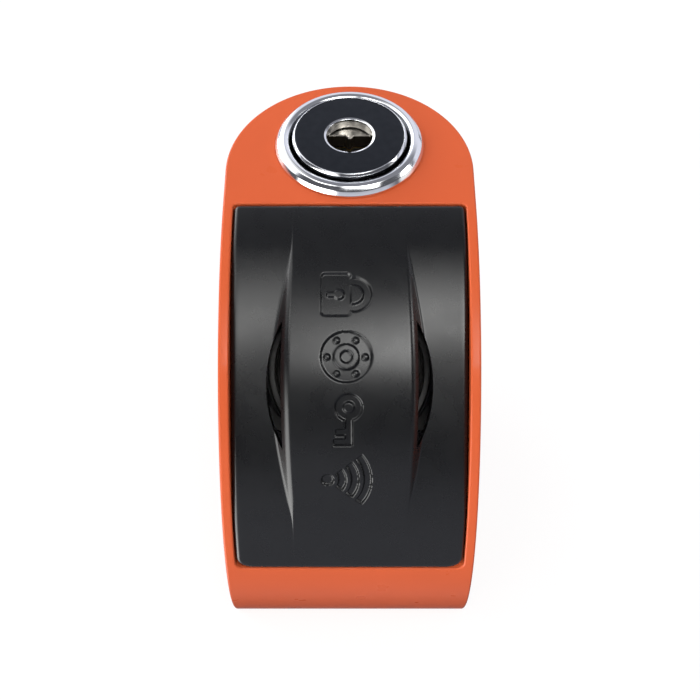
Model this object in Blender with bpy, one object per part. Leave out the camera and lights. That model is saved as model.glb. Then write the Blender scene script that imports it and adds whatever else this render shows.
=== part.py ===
"""Alarmed disc brake lock: a C-shaped cast body that hooks over a brake disc, with a push-down lock
cylinder that drives a pin through one of the disc's holes and a siren behind the front cover.

Frame: origin at the centre of the footprint, +Z up along the pin, +Y towards the open mouth at the
rear, -Y towards the front cover, +X across. All the dimensions below are in millimetres; objects
are built in metres.
"""

import math

import bmesh
import bpy
from mathutils import Matrix, Vector

MM = 0.001
SHARP_ANGLE = math.radians(35)  # edges that turn more than this are shaded sharp
ALONG_X = (1, 0, 0)
ALONG_Y = (0, 1, 0)
ALONG_Z = (0, 0, 1)
SIDES = (("left", -1), ("right", 1))  # name, sign of x

# ---- body ----
HALF_WIDTH = 22.0  # half the body's width, and the radius of its rear end
REAR_CENTRE_Y = 16.6  # centre of the round rear end
FRONT_CY, FRONT_CZ, FRONT_R = 8.6, 22.8, 47.2  # circle that the front of the body follows
TOP_Z = FRONT_CZ + FRONT_R
EDGE_R = 1.6  # rounding of the body's outer edges
ARC_STEPS, REAR_STEPS, EDGE_STEPS = 26, 22, 2

# ---- disc slot ----
SLOT_Z0, SLOT_Z1 = 26.0, 34.0
SLOT_END_Y = -2.5
SLOT_MOUTH_Y = 45.0  # beyond the body's rear end

# ---- lock cylinder and pin ----
PIN_Y = 22.5  # the pin's axis, at x = 0
BORE_R, BORE_Z = 10.6, 37.0
BEZEL_POCKET_R, BEZEL_POCKET_Z = 12.3, 65.6
PIN_R = 7.0
BUSH_R0, BUSH_R1 = 7.3, 9.2
BUSH_HOLE_R = BUSH_R1 + 0.15
BUSH_HOLE_Z = 18.0
STOP_Z = 62.0  # axis of the stop pin
SWITCH_Z = 61.5  # axis of the switch plunger

# ---- opening under the front cover ----
OPEN_HALF_W = 20.3  # half-width of the opening in the body
OPEN_LOW, OPEN_HIGH = 2.8, 89.4  # its ends, as elevations about the front circle's centre
LOW_S = math.radians(OPEN_LOW) * FRONT_R  # the same ends as arc lengths
HIGH_S = math.radians(OPEN_HIGH) * FRONT_R
VALLEY_EL = 48.3  # elevation of the middle of the scooped sides
FLOOR_R, FLOOR_CHORD = 43.7, 38.75  # the recess floor: a circle cut off by a chord
LEDGE_HALF_W = 16.5

# ---- electronics ----
SIREN_EL = 51.5
MOUNT_X, MOUNT_Z = 12.0, 30.0  # the two screws that hold the chassis, at +X and -X

# Colour (red, green, blue), metallic, roughness.
FINISHES = {
    "orange_paint": ((0.80, 0.13, 0.045), 0.0, 0.28),
    "black_satin": ((0.02, 0.02, 0.023), 0.0, 0.38),
    "chrome": ((0.83, 0.84, 0.86), 1.0, 0.08),
    "dark_polished_steel": ((0.05, 0.055, 0.065), 0.9, 0.22),
    "brushed_steel": ((0.52, 0.51, 0.49), 1.0, 0.34),
    "hard_steel": ((0.42, 0.43, 0.45), 1.0, 0.28),
    "brass": ((0.71, 0.52, 0.24), 1.0, 0.32),
    "bronze": ((0.55, 0.36, 0.18), 1.0, 0.42),
    "rubber": ((0.015, 0.015, 0.015), 0.0, 0.75),
    "black_plastic": ((0.03, 0.03, 0.032), 0.0, 0.5),
    "board_green": ((0.02, 0.16, 0.06), 0.0, 0.45),
    "chip_black": ((0.012, 0.012, 0.014), 0.0, 0.35),
    "battery_wrap": ((0.09, 0.16, 0.32), 0.0, 0.3),
    "spring_steel": ((0.60, 0.60, 0.60), 1.0, 0.25),
    "copper": ((0.72, 0.34, 0.18), 1.0, 0.3),
    "red_wire": ((0.55, 0.02, 0.02), 0.0, 0.4),
    "black_wire": ((0.02, 0.02, 0.02), 0.0, 0.4),
}

for old in list(bpy.data.objects):
    bpy.data.objects.remove(old, do_unlink=True)


# ---- objects ------------------------------------------------------------------------------------
def material(name, finish):
    colour, metallic, roughness = FINISHES[finish]
    mat = bpy.data.materials.new(name)
    mat.use_nodes = True
    shader = mat.node_tree.nodes["Principled BSDF"]
    shader.inputs["Base Color"].default_value = (*colour, 1.0)
    shader.inputs["Metallic"].default_value = metallic
    shader.inputs["Roughness"].default_value = roughness
    mat.diffuse_color = (*colour, 1.0)
    return mat


def joint(name, x, y, z):
    """An empty on a moving body's joint axis."""
    empty = bpy.data.objects.new(name, None)
    bpy.context.scene.collection.objects.link(empty)
    empty.location = (x * MM, y * MM, z * MM)
    return empty


def mesh_object(name, bm, body):
    """An object from a bmesh in the product's frame, with its origin on the body's joint."""
    bmesh.ops.recalc_face_normals(bm, faces=bm.faces[:])
    origin = Vector((0, 0, 0)) if body is None else body.location
    for vert in bm.verts:
        vert.co = vert.co * MM - origin
    mesh = bpy.data.meshes.new(name)
    bm.to_mesh(mesh)
    bm.free()
    mesh.shade_smooth()
    mesh.set_sharp_from_angle(angle=SHARP_ANGLE)
    obj = bpy.data.objects.new(name, mesh)
    bpy.context.scene.collection.objects.link(obj)
    obj.parent = body
    return obj


def solid(name, finish, bm, body=None):
    """A visible piece with its own material."""
    obj = mesh_object(name, bm, body)
    obj.data.materials.append(material(name, finish))
    return obj


def helper(name, bm, body=None):
    """A hidden operand for boolean modifiers."""
    obj = mesh_object(name, bm, body)
    obj.hide_render = True
    obj.display_type = "WIRE"
    return obj


def boolean(obj, operation, *operands):
    for operand in operands:
        mod = obj.modifiers.new(operand.name, "BOOLEAN")
        mod.operation = operation
        mod.solver = "EXACT"
        mod.object = operand


# ---- frames and outlines ------------------------------------------------------------------------
def at(origin, direction=ALONG_Z):
    """A frame at a point, its local Z along direction."""
    turn = Vector(direction).to_track_quat("Z", "Y").to_matrix().to_4x4()
    return Matrix.Translation(origin) @ turn


def polar(radius, elevation, x=0.0):
    """A point at a distance and elevation about the front circle's centre line."""
    angle = math.radians(elevation)
    y = FRONT_CY - radius * math.cos(angle)
    z = FRONT_CZ + radius * math.sin(angle)
    return Vector((x, y, z))


def front_axis(elevation):
    """Local Z runs out from the front circle's centre at this elevation, and local X is +X."""
    angle = math.radians(elevation)
    out = Vector((0, -math.cos(angle), math.sin(angle)))
    along = Vector((0, math.sin(angle), math.cos(angle)))
    turn = Matrix((Vector(ALONG_X), along, out)).transposed().to_4x4()
    return Matrix.Translation(polar(0.0, elevation)) @ turn


PIN_AXIS = at((0, PIN_Y, 0))
SIREN_AXIS = front_axis(SIREN_EL)


def arc(centre, radius, start, sweep_angle, steps):
    """Points on an arc, both ends included; the angles are in degrees."""
    points = []
    for i in range(steps + 1):
        angle = math.radians(start + sweep_angle * i / steps)
        x = centre[0] + radius * math.cos(angle)
        y = centre[1] + radius * math.sin(angle)
        points.append((x, y))
    return points


def tube_profile(inner, outer, low, high):
    """Profile of a tube, or of a plain disc if inner is 0."""
    return [(inner, low), (outer, low), (outer, high), (inner, high)]


def raised(profile, height):
    return [(radius, height + z) for radius, z in profile]


# ---- shapes: each returns a bmesh in millimetres ------------------------------------------------
def turned(profile, segments=32, frame=PIN_AXIS, bm=None):
    """A solid of revolution about the frame's Z, from a closed list of (radius, height).
    It is added to bm if one is given."""
    if bm is None:
        bm = bmesh.new()
    rings = []
    for radius, height in profile:
        if radius < 1e-6:
            rings.append([bm.verts.new(frame @ Vector((0, 0, height)))])
            continue
        ring = []
        for i in range(segments):
            angle = 2 * math.pi * i / segments
            point = Vector((radius * math.cos(angle), radius * math.sin(angle), height))
            ring.append(bm.verts.new(frame @ point))
        rings.append(ring)
    for a, b in zip(rings, rings[1:] + rings[:1]):
        if len(a) == 1 and len(b) == 1:
            continue
        for i in range(segments):
            j = (i + 1) % segments
            if len(a) == 1:
                bm.faces.new((a[0], b[j], b[i]))
            elif len(b) == 1:
                bm.faces.new((a[i], a[j], b[0]))
            else:
                bm.faces.new((a[i], a[j], b[j], b[i]))
    return bm


def rod(start, end, radius, segments, bm=None):
    start, end = Vector(start), Vector(end)
    axis = end - start
    return turned(tube_profile(0, radius, 0, axis.length), segments, at(start, axis), bm)


def loft(outlines):
    """Joins closed outlines with equal numbers of points in turn, and caps both ends."""
    bm = bmesh.new()
    rings = [[bm.verts.new(point) for point in outline] for outline in outlines]
    for a, b in zip(rings, rings[1:]):
        for i in range(len(a)):
            j = (i + 1) % len(a)
            bm.faces.new((a[i], a[j], b[j], b[i]))
    bm.faces.new(rings[0][::-1])
    bm.faces.new(rings[-1])
    return bm


def slab(outline, x0, x1):
    """Extrudes a (y, z) outline along X."""
    return loft([[(x, y, z) for y, z in outline] for x in (x0, x1)])


def plate(outline, z0, z1, frame=None):
    """Extrudes an (x, y) outline along Z."""
    frame = frame or Matrix.Identity(4)
    return loft([[frame @ Vector((x, y, z)) for x, y in outline] for z in (z0, z1)])


def box(x, y, z, frame=None):
    """A block from its (low, high) range along each axis."""
    outline = [(x[0], y[0]), (x[1], y[0]), (x[1], y[1]), (x[0], y[1])]
    return plate(outline, *z, frame)


def sweep(path, radius, sides=6):
    """A round wire along a list of points, with flat ends."""
    points = [Vector(point) for point in path]
    last = len(points) - 1
    rings = []
    side = None
    for i, point in enumerate(points):
        ahead = (points[min(i + 1, last)] - points[max(i - 1, 0)]).normalized()
        if side is None:
            side = ahead.orthogonal().normalized()
        side = (side - ahead * side.dot(ahead)).normalized()
        up = ahead.cross(side)
        ring = []
        for k in range(sides):
            angle = 2 * math.pi * k / sides
            ring.append(point + radius * (side * math.cos(angle) + up * math.sin(angle)))
        rings.append(ring)
    return loft(rings)


def helix(radii, z0, z1, turns, wire, steps, sides, frame):
    """A coil of wire radius `wire` between z0 and z1; radii are its first and last radius."""
    total = round(turns * steps)
    path = []
    for i in range(total + 1):
        angle = 2 * math.pi * i / steps
        z = z0 + wire + (z1 - z0 - 2 * wire) * i / total
        radius = radii[0] + (radii[1] - radii[0]) * i / total
        path.append(frame @ Vector((radius * math.cos(angle), radius * math.sin(angle), z)))
    return sweep(path, wire, sides)


# ---- sheets over the front circle ---------------------------------------------------------------
# Arc lengths at which the recess floor changes from the circle to the chord.
FLOOR_LEAN = math.degrees(math.acos(FLOOR_CHORD / FLOOR_R))
FLOOR_KINKS = [math.radians(VALLEY_EL + side * FLOOR_LEAN) * FRONT_R for side in (-1, 1)]


def floor_radius(elevation):
    return min(FLOOR_R, FLOOR_CHORD / math.cos(math.radians(elevation - VALLEY_EL)))


def above_floor(height):
    """A radius function for skin() at this height over the recess floor."""
    return lambda elevation, x: floor_radius(elevation) + height


def flat_columns(half_width):
    """A column function for skin(): both edges and the middle."""

    def columns(s, taken):
        return [taken - half_width, 0.0, half_width - taken]

    return columns


def corner_rows(low, high, radius_low, radius_high, middle, steps):
    """Rows between two arc lengths, as (arc length, width that the rounded corners take off).
    The middle rows nearest to the floor's kinks are moved onto them."""
    quarter = [math.pi / 2 * i / steps for i in range(steps + 1)]
    rows = [
        (low + radius_low * (1 - math.cos(a)), radius_low * (1 - math.sin(a))) for a in quarter
    ]
    start, end = low + radius_low, high - radius_high
    between = [start + (end - start) * i / middle for i in range(1, middle)]
    for kink in FLOOR_KINKS:
        nearest = min(range(len(between)), key=lambda i: abs(between[i] - kink))
        between[nearest] = kink
    rows += [(s, 0.0) for s in between]
    rows += [
        (high - radius_high * (1 - math.sin(a)), radius_high * (1 - math.cos(a)))
        for a in quarter
    ]
    return rows


def skin(rows, columns, outer, inner):
    """A closed sheet over the front circle. rows are (arc length, width taken off),
    columns(*row) gives x positions, and outer and inner give radii from (elevation, x)."""
    bm = bmesh.new()
    sheets = []
    for radius in (outer, inner):
        grid = []
        for s, taken in rows:
            elevation = math.degrees(s / FRONT_R)
            points = [polar(radius(elevation, x), elevation, x) for x in columns(s, taken)]
            grid.append([bm.verts.new(point) for point in points])
        sheets.append(grid)
    a, b = sheets
    row_steps, column_steps = len(a) - 1, len(a[0]) - 1
    for grid in sheets:
        for i in range(row_steps):
            for j in range(column_steps):
                bm.faces.new((grid[i][j], grid[i][j + 1], grid[i + 1][j + 1], grid[i + 1][j]))
    for end in (0, -1):
        for i in range(row_steps):
            bm.faces.new((a[i][end], a[i + 1][end], b[i + 1][end], b[i][end]))
        for j in range(column_steps):
            bm.faces.new((a[end][j], a[end][j + 1], b[end][j + 1], b[end][j]))
    return bm


# ---- casting ------------------------------------------------------------------------------------
# (y, z) section of the space for the electronics.
BAY_OUTLINE = [
    (-36.8, 30.0), (-30.9, 29.06), (-30.9, 5.0), (-8.0, 5.0), (-8.0, 37.0), (8.5, 37.0),
    (8.5, 64.5), (4.57, 64.6), (4.19, 68.6), (2.85, 82.5), (-60.0, 82.0), (-50.7, 32.2),
]
BORE_TOP_Z = 75.0  # above the body's top
# (radius, z) of the stepped bore for the bushes, the cylinder and the bezel.
BORE_PROFILE = [
    (0, BUSH_HOLE_Z),
    (BUSH_HOLE_R, BUSH_HOLE_Z),
    (BUSH_HOLE_R, BORE_Z),
    (BORE_R, BORE_Z),
    (BORE_R, BEZEL_POCKET_Z),
    (BEZEL_POCKET_R, BEZEL_POCKET_Z),
    (BEZEL_POCKET_R, BORE_TOP_Z),
    (0, BORE_TOP_Z),
]
# (radius, distance along +Y) of a counterbored hole for a chassis screw.
SCREW_HOLE_Y = -9.0
SCREW_HOLE_PROFILE = [(0, 0), (1.7, 0), (1.7, 4.0), (2.9, 4.0), (2.9, 8.0), (0, 8.0)]
BEVEL_ANGLE = math.radians(30)  # edges that turn more than this are rounded


def body_block():
    """The casting's outside: a front that follows the circle, a flat top and a round rear end."""
    bm = bmesh.new()
    low = -math.degrees(math.asin(FRONT_CZ / FRONT_R))
    front = [polar(FRONT_R, low + (90 - low) * i / ARC_STEPS) for i in range(ARC_STEPS + 1)]
    left = [bm.verts.new((-HALF_WIDTH, p.y, p.z)) for p in front]
    right = [bm.verts.new((HALF_WIDTH, p.y, p.z)) for p in front]
    rear = arc((0, REAR_CENTRE_Y), HALF_WIDTH, 180, -180, REAR_STEPS)
    top = [bm.verts.new((x, y, TOP_Z)) for x, y in rear]
    bottom = [bm.verts.new((x, y, 0)) for x, y in rear]
    for i in range(ARC_STEPS):
        bm.faces.new((left[i], left[i + 1], right[i + 1], right[i]))
    for i in range(REAR_STEPS):
        bm.faces.new((top[i], top[i + 1], bottom[i + 1], bottom[i]))
    bm.faces.new([left[-1]] + top + [right[-1]])
    bm.faces.new([left[0]] + bottom + [right[0]])
    bm.faces.new(left + [top[0], bottom[0]])
    bm.faces.new(right + [top[-1], bottom[-1]])
    bmesh.ops.recalc_face_normals(bm, faces=bm.faces[:])
    bmesh.ops.bevel(
        bm,
        geom=[edge for edge in bm.edges if edge.calc_face_angle(0) > BEVEL_ANGLE],
        offset=EDGE_R,
        segments=EDGE_STEPS,
        profile=0.5,
        affect="EDGES",
        clamp_overlap=True,
    )
    return bm


def cover_recess():
    """The space for the front cover, from beyond the front circle down to the recess floor."""
    return skin(
        corner_rows(LOW_S, HIGH_S, radius_low=3.0, radius_high=1.0, middle=20, steps=2),
        flat_columns(OPEN_HALF_W),
        outer=lambda elevation, x: FRONT_R + 3,
        inner=above_floor(0.0),
    )


def screw_holes():
    bm = bmesh.new()
    for _, side in SIDES:
        frame = at((side * MOUNT_X, SCREW_HOLE_Y, MOUNT_Z), ALONG_Y)
        turned(SCREW_HOLE_PROFILE, 12, frame, bm)
    return bm


def build_casting():
    casting = solid("body_casting", "orange_paint", body_block())
    slot_half_width = HALF_WIDTH + 2
    slot = box(
        (-slot_half_width, slot_half_width), (SLOT_END_Y, SLOT_MOUTH_Y), (SLOT_Z0, SLOT_Z1)
    )
    latch_notch = box((8.0, 12.6), (PIN_Y - 3.3, PIN_Y + 3.3), (46.6, 65.5))
    boolean(
        casting,
        "DIFFERENCE",
        helper("cut_disc_slot", slot),
        helper("cut_cover_recess", cover_recess()),
        helper("cut_electronics_bay", slab(BAY_OUTLINE, -LEDGE_HALF_W, LEDGE_HALF_W)),
        helper("cut_cylinder_bore", turned(BORE_PROFILE)),
        helper("cut_latch_notch", latch_notch),
        helper("cut_stop_pin_hole", rod((0, 31.0, STOP_Z), (0, 42.0, STOP_Z), 1.65, 12)),
        helper("cut_plunger_hole", rod((0, 7.0, SWITCH_Z), (0, 13.5, SWITCH_Z), 1.1, 12)),
        helper("cut_screw_holes", screw_holes()),
    )


# ---- fixed pieces round the cylinder ------------------------------------------------------------
# (radius, z) of the flanged ring on top of the body.
BEZEL_R = 13.35
BEZEL_PROFILE = [
    (10.75, 67.6), (12.1, 67.6), (12.1, 70.15), (BEZEL_R, 70.15), (BEZEL_R, 70.6),
    (12.85, 71.3), (12.2, 71.85), (11.6, 71.85), (11.1, 71.2), (10.75, 70.4),
]
O_RING_R, O_RING_Z, O_RING_WIRE_R = 11.45, 66.5, 0.7
BUSH_GAP = 0.1  # from each end of a bush to the end of its hole
SPRING_R, SPRING_WIRE_R = 8.7, 0.5


def bush_profile(low, high):
    return tube_profile(BUSH_R0, BUSH_R1, low + BUSH_GAP, high - BUSH_GAP)


def build_cylinder_surround():
    solid("bezel_ring", "chrome", turned(BEZEL_PROFILE))
    section = arc((O_RING_R, O_RING_Z), O_RING_WIRE_R, 0, 360, 8)[:-1]
    solid("bezel_o_ring", "rubber", turned(section))
    solid("guide_bush", "bronze", turned(bush_profile(SLOT_Z1, BORE_Z)))
    solid("jaw_bush", "hard_steel", turned(bush_profile(BUSH_HOLE_Z, SLOT_Z0)))
    stop_pin = rod((0, 31.4, STOP_Z), (0, 38.0, STOP_Z), 1.5, 12)
    solid("stop_pin", "hard_steel", stop_pin)
    return_spring = helix(
        radii=(SPRING_R, SPRING_R),
        z0=BORE_Z + 0.05,
        z1=42.9,
        turns=4.6,
        wire=SPRING_WIRE_R,
        steps=14,
        sides=6,
        frame=Matrix.Translation((0, PIN_Y, 0)),
    )
    solid("return_spring", "spring_steel", return_spring)


# ---- front cover --------------------------------------------------------------------------------
COVER_GAP = 0.45
COVER_HALF_W = OPEN_HALF_W - COVER_GAP
COVER_ROWS = corner_rows(
    LOW_S + COVER_GAP, HIGH_S - COVER_GAP, radius_low=2.5, radius_high=1.0, middle=22, steps=2
)
COVER_EDGE = 0.7  # width and depth of the eased edge
COVER_FLOOR_GAP = 1.1  # from the recess floor to the cover's inside

# The scoop's section along the arc: two shallow slopes that meet in a soft bottom.
VALLEY_A, VALLEY_SLOPE, VALLEY_SOFT = 4.985, 0.182, 2.2
VALLEY_END_SOFT = 0.06  # softness of its two ends
SCOOP_FLAT_X = 11.0  # out to this x the scoop has its full depth
SCOOP_EDGE_LOSS = 0.62  # share of the depth that is lost at the edge

# The raised strap down the middle is a little wider where the scoop is deep.
STRAP_HALF_W, STRAP_BULGE = 9.9, 0.7
BULGE_DEPTH = 2.8  # scoop depth at which the strap has its full width
WALL_FOOT, WALL_DRAFT = 0.15, 0.95  # how far the strap's wall leans out: fixed, and per depth

HORN_A, HORN_B = 14.3, 18.3  # half-axes of the siren's opening
HORN_STEPS = 28
BRIDGE_T, BRIDGE_EDGE_T = 2.2, 1.1  # thickness of the strap over the siren: middle and edges
BRIDGE_COLUMNS = [-17, -11.0, -9.6, 0, 9.6, 11.0, 17]
BRIDGE_EL, BRIDGE_SPAN, BRIDGE_STEPS = 18, 60, 12  # first elevation, angle covered, rows

GASKET_INSET = 0.6  # from the opening's edge
GASKET_LOW, GASKET_HIGH = 0.15, 0.85  # its faces above the recess floor


def valley_depth(elevation):
    """How far the scooped sides lie below the front circle, with a soft start at each end."""
    along = VALLEY_SLOPE * math.radians(elevation - VALLEY_EL) * FRONT_R
    depth = VALLEY_A - math.hypot(along, VALLEY_SOFT)
    return 0.5 * (depth + math.sqrt(depth * depth + VALLEY_END_SOFT))


def strap_half(depth):
    return STRAP_HALF_W + STRAP_BULGE * min(1.0, depth / BULGE_DEPTH)


def scoop_share(x):
    """The scoop is deepest beside the strap and shallower towards the edge."""
    outward = (abs(x) - SCOOP_FLAT_X) / (OPEN_HALF_W - SCOOP_FLAT_X)
    outward = min(1.0, max(0.0, outward))
    return 1.0 - SCOOP_EDGE_LOSS * outward * outward


def cover_columns(s, taken):
    """Grid lines of the cover: its edge, the scooped side, the strap's wall and its top."""
    depth = valley_depth(math.degrees(s / FRONT_R))
    edge = COVER_HALF_W - taken
    top = strap_half(depth)
    foot = top + WALL_FOOT + WALL_DRAFT * depth
    inner_edge = edge - COVER_EDGE
    half = [edge, inner_edge, 0.45 * foot + 0.55 * inner_edge, foot, top, top * 0.5]
    return [-x for x in half] + [0.0] + half[::-1]


def cover_outer(elevation, x):
    """Radius of the cover's outside: the front circle less the eased edge and the scoop."""
    s = math.radians(elevation) * FRONT_R
    depth = valley_depth(elevation)
    taken = next(width for row, width in COVER_ROWS if abs(row - s) < 1e-6)
    from_side = COVER_HALF_W - taken - abs(x)
    from_end = min(s - COVER_ROWS[0][0], COVER_ROWS[-1][0] - s)
    drop = COVER_EDGE * max(0.0, 1 - min(from_side, from_end) / COVER_EDGE) ** 2
    radius = FRONT_R - drop
    if abs(x) > strap_half(depth) + 1e-6:
        radius -= depth * scoop_share(x)
    return radius


def under_bridge():
    """The space below the part of the strap that bridges the siren."""
    elevations = [BRIDGE_EL + BRIDGE_SPAN * i / BRIDGE_STEPS for i in range(BRIDGE_STEPS + 1)]
    return skin(
        [(math.radians(elevation) * FRONT_R, 0.0) for elevation in elevations],
        lambda s, taken: BRIDGE_COLUMNS,
        outer=lambda elevation, x: FRONT_R - (BRIDGE_T if abs(x) < 10 else BRIDGE_EDGE_T),
        inner=lambda elevation, x: 30.0,
    )


def horn_opening():
    """The oval opening over the siren."""
    outline = []
    for k in range(HORN_STEPS):
        angle = 2 * math.pi * k / HORN_STEPS
        outline.append((HORN_A * math.cos(angle), HORN_B * math.sin(angle)))
    return plate(outline, 34, 50, front_axis(VALLEY_EL))


def build_front_cover():
    sheet = skin(COVER_ROWS, cover_columns, cover_outer, above_floor(COVER_FLOOR_GAP))
    front_cover = solid("front_cover", "black_satin", sheet)
    bridge_cutter = helper("cut_under_bridge", under_bridge())
    horn_cutter = helper("cut_horn_opening", horn_opening())
    boolean(horn_cutter, "INTERSECT", bridge_cutter)
    boolean(front_cover, "DIFFERENCE", horn_cutter)


def build_gasket():
    """A sheet under the cover, cut out in the middle to leave a frame."""
    sheet = skin(
        corner_rows(
            LOW_S + GASKET_INSET,
            HIGH_S - GASKET_INSET,
            radius_low=2.4,
            radius_high=0.8,
            middle=16,
            steps=2,
        ),
        flat_columns(OPEN_HALF_W - GASKET_INSET),
        outer=above_floor(GASKET_HIGH),
        inner=above_floor(GASKET_LOW),
    )
    middle = skin(
        corner_rows(
            math.radians(9.6) * FRONT_R,
            math.radians(83.9) * FRONT_R,
            radius_low=1.5,
            radius_high=1.5,
            middle=16,
            steps=1,
        ),
        flat_columns(LEDGE_HALF_W + 0.4),
        outer=above_floor(3),
        inner=above_floor(-3),
    )
    gasket = solid("cover_gasket", "rubber", sheet)
    boolean(gasket, "DIFFERENCE", helper("cut_gasket_middle", middle))


# ---- siren --------------------------------------------------------------------------------------
# Heights here are along the siren's axis, from the front circle's centre.
SIREN_BASE, SIREN_RIM = 29.6, 37.4
SIREN_R = 14.6
HORN_BASE = SIREN_RIM - 1.9
RIDGE_R, RIDGE_PITCH, RIDGE_COUNT = 13.9, 3.6, 3
# (inset from the ridge's outer radius, height) of one ring-shaped ridge.
RIDGE_PROFILE = [(0, 0.0), (0, 1.4), (0.9, 1.4), (1.5, 0.6), (2.7, 0.6)]
# (radius, height) of the dome in the middle of the ridges.
HORN_DOME = [(2.9, 1.3), (1.2, 2.0), (0, 2.1), (0, 0)]
# (radius, height from the rim)
DIAPHRAGM_PROFILE = [(0, -3.6), (13.2, -3.6), (13.2, -3.2), (10.5, -3.2), (9.5, -2.9), (0, -2.9)]
# (radius, height) of the cup with a step inside its wall.
HOUSING_STEP = SIREN_RIM - 3.9
HOUSING_FLOOR = SIREN_BASE + 1.2
HOUSING_PROFILE = [
    (0, SIREN_BASE),
    (SIREN_R, SIREN_BASE),
    (SIREN_R, SIREN_RIM),
    (SIREN_R - 0.5, SIREN_RIM),
    (SIREN_R - 0.5, HOUSING_STEP),
    (SIREN_R - 2.4, HOUSING_STEP),
    (SIREN_R - 2.4, HOUSING_FLOOR),
    (0, HOUSING_FLOOR),
]


def build_siren():
    horn = []
    for k in range(RIDGE_COUNT):
        ridge_radius = RIDGE_R - RIDGE_PITCH * k
        horn += [(ridge_radius - inset, z) for inset, z in RIDGE_PROFILE]
    horn = raised(horn + HORN_DOME, HORN_BASE)
    diaphragm = raised(DIAPHRAGM_PROFILE, SIREN_RIM)
    solid("siren_horn", "black_plastic", turned(horn, frame=SIREN_AXIS))
    solid("siren_diaphragm", "brass", turned(diaphragm, frame=SIREN_AXIS))
    solid("siren_housing", "black_plastic", turned(HOUSING_PROFILE, frame=SIREN_AXIS))


# ---- alarm chassis, board and its parts ---------------------------------------------------------
# (y, z) outline of each side wall.
CHASSIS_WALL = [(-30.4, 5.9), (-8.5, 5.9), (-8.5, 43.6), (-20.8, 35.6), (-30.4, 27.0)]
WALL_X0, WALL_X1 = 14.9, 16.1
BOSS_R, BOSS_HOLE_R = 2.85, 1.75
# (x, y) of the board screws in the siren's frame.
BOARD_SCREWS = [(-12.8, -12.0), (12.8, -12.0), (-12.8, 11.6), (12.8, 11.6)]
# (radius, height in the siren's frame)
BOARD_SCREW_PROFILE = [
    (0, 24.6), (1.9, 24.6), (1.9, 26.1), (0.95, 26.1), (0.95, 29.0), (0, 29.0),
]
CHASSIS_SCREW_Y = -14.6
# (radius, distance along +Y)
CHASSIS_SCREW_PROFILE = [(0, 0), (1.45, 0), (1.45, 9.9), (2.6, 9.9), (2.6, 11.6), (0, 11.6)]
# (radius, height in the siren's frame) of the round parts on the board.
CAPACITOR_PROFILE = [(0, 21.2), (2.2, 21.2), (2.5, 21.5), (2.5, 26.2), (0, 26.2)]
COIL_PROFILE = [
    (0, 22.0), (3.0, 22.0), (3.0, 22.7), (2.0, 22.7),
    (2.0, 25.5), (3.0, 25.5), (3.0, 26.2), (0, 26.2),
]


def mount_rod(side, y0, y1, radius, bm=None):
    """A rod on the axis of one chassis screw."""
    x = side * MOUNT_X
    return rod((x, y0, MOUNT_Z), (x, y1, MOUNT_Z), radius, 12, bm)


def make_board_holes():
    bm = bmesh.new()
    for x, y in BOARD_SCREWS:
        rod(SIREN_AXIS @ Vector((x, y, 24)), SIREN_AXIS @ Vector((x, y, 30)), 1.2, 10, bm)
    return helper("cut_board_screw_holes", bm)


def build_chassis(board_holes):
    """A floor with side walls, a sloping deck behind the siren, and a rib with two bosses."""
    deck = box((-15.7, 15.7), (-15.4, 14.6), (28.1, 29.2), SIREN_AXIS)
    cross_rib = box((-15.5, 15.5), (-15.0, -8.8), (24.6, 27.6))
    additions = [
        helper("add_chassis_right_wall", slab(CHASSIS_WALL, WALL_X0, WALL_X1)),
        helper("add_chassis_left_wall", slab(CHASSIS_WALL, -WALL_X1, -WALL_X0)),
        helper("add_chassis_deck", deck),
        helper("add_chassis_cross_rib", cross_rib),
    ]
    boss_holes = bmesh.new()
    for name, side in SIDES:
        boss = mount_rod(side, -15.3, -8.6, BOSS_R)
        additions.append(helper(f"add_chassis_boss_{name}", boss))
        mount_rod(side, -16, -7, BOSS_HOLE_R, boss_holes)
    chassis = solid(
        "alarm_chassis", "black_plastic", box((-15.6, 15.6), (-30.2, -8.7), (5.4, 6.7))
    )
    boolean(chassis, "UNION", *additions)
    boolean(chassis, "DIFFERENCE", helper("cut_chassis_boss_holes", boss_holes), board_holes)


def build_board(board_holes):
    board = box((-14.6, 14.6), (-14.2, 13.8), (26.3, 27.5), SIREN_AXIS)
    circuit_board = solid("circuit_board", "board_green", board)
    boolean(circuit_board, "DIFFERENCE", board_holes)
    for number, (x, y) in enumerate(BOARD_SCREWS, 1):
        frame = SIREN_AXIS @ Matrix.Translation((x, y, 0))
        screw = turned(BOARD_SCREW_PROFILE, 12, frame)
        solid(f"board_screw_{number}", "brushed_steel", screw)


def build_board_parts():
    """The parts on the face of the board turned away from the siren."""
    microcontroller = box((-3.5, 3.5), (-7.0, 0.0), (24.9, 26.2), SIREN_AXIS)
    solid("microcontroller", "chip_black", microcontroller)
    motion_sensor = box((6.0, 9.0), (-5.5, -2.5), (25.0, 26.2), SIREN_AXIS)
    solid("motion_sensor", "chip_black", motion_sensor)
    capacitor_frame = SIREN_AXIS @ Matrix.Translation((-8.0, 3.0, 0))
    solid("capacitor", "battery_wrap", turned(CAPACITOR_PROFILE, 16, capacitor_frame))
    coil_frame = SIREN_AXIS @ Matrix.Translation((8.0, 4.0, 0))
    solid("boost_coil", "copper", turned(COIL_PROFILE, 16, coil_frame))


def build_chassis_screws():
    for name, side in SIDES:
        frame = at((side * MOUNT_X, CHASSIS_SCREW_Y, MOUNT_Z), ALONG_Y)
        screw = turned(CHASSIS_SCREW_PROFILE, 12, frame)
        solid(f"chassis_screw_{name}", "brushed_steel", screw)


# ---- battery and wiring -------------------------------------------------------------------------
BATTERY_Y, BATTERY_Z, BATTERY_R = -21.3, 15.2, 7.8
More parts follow.
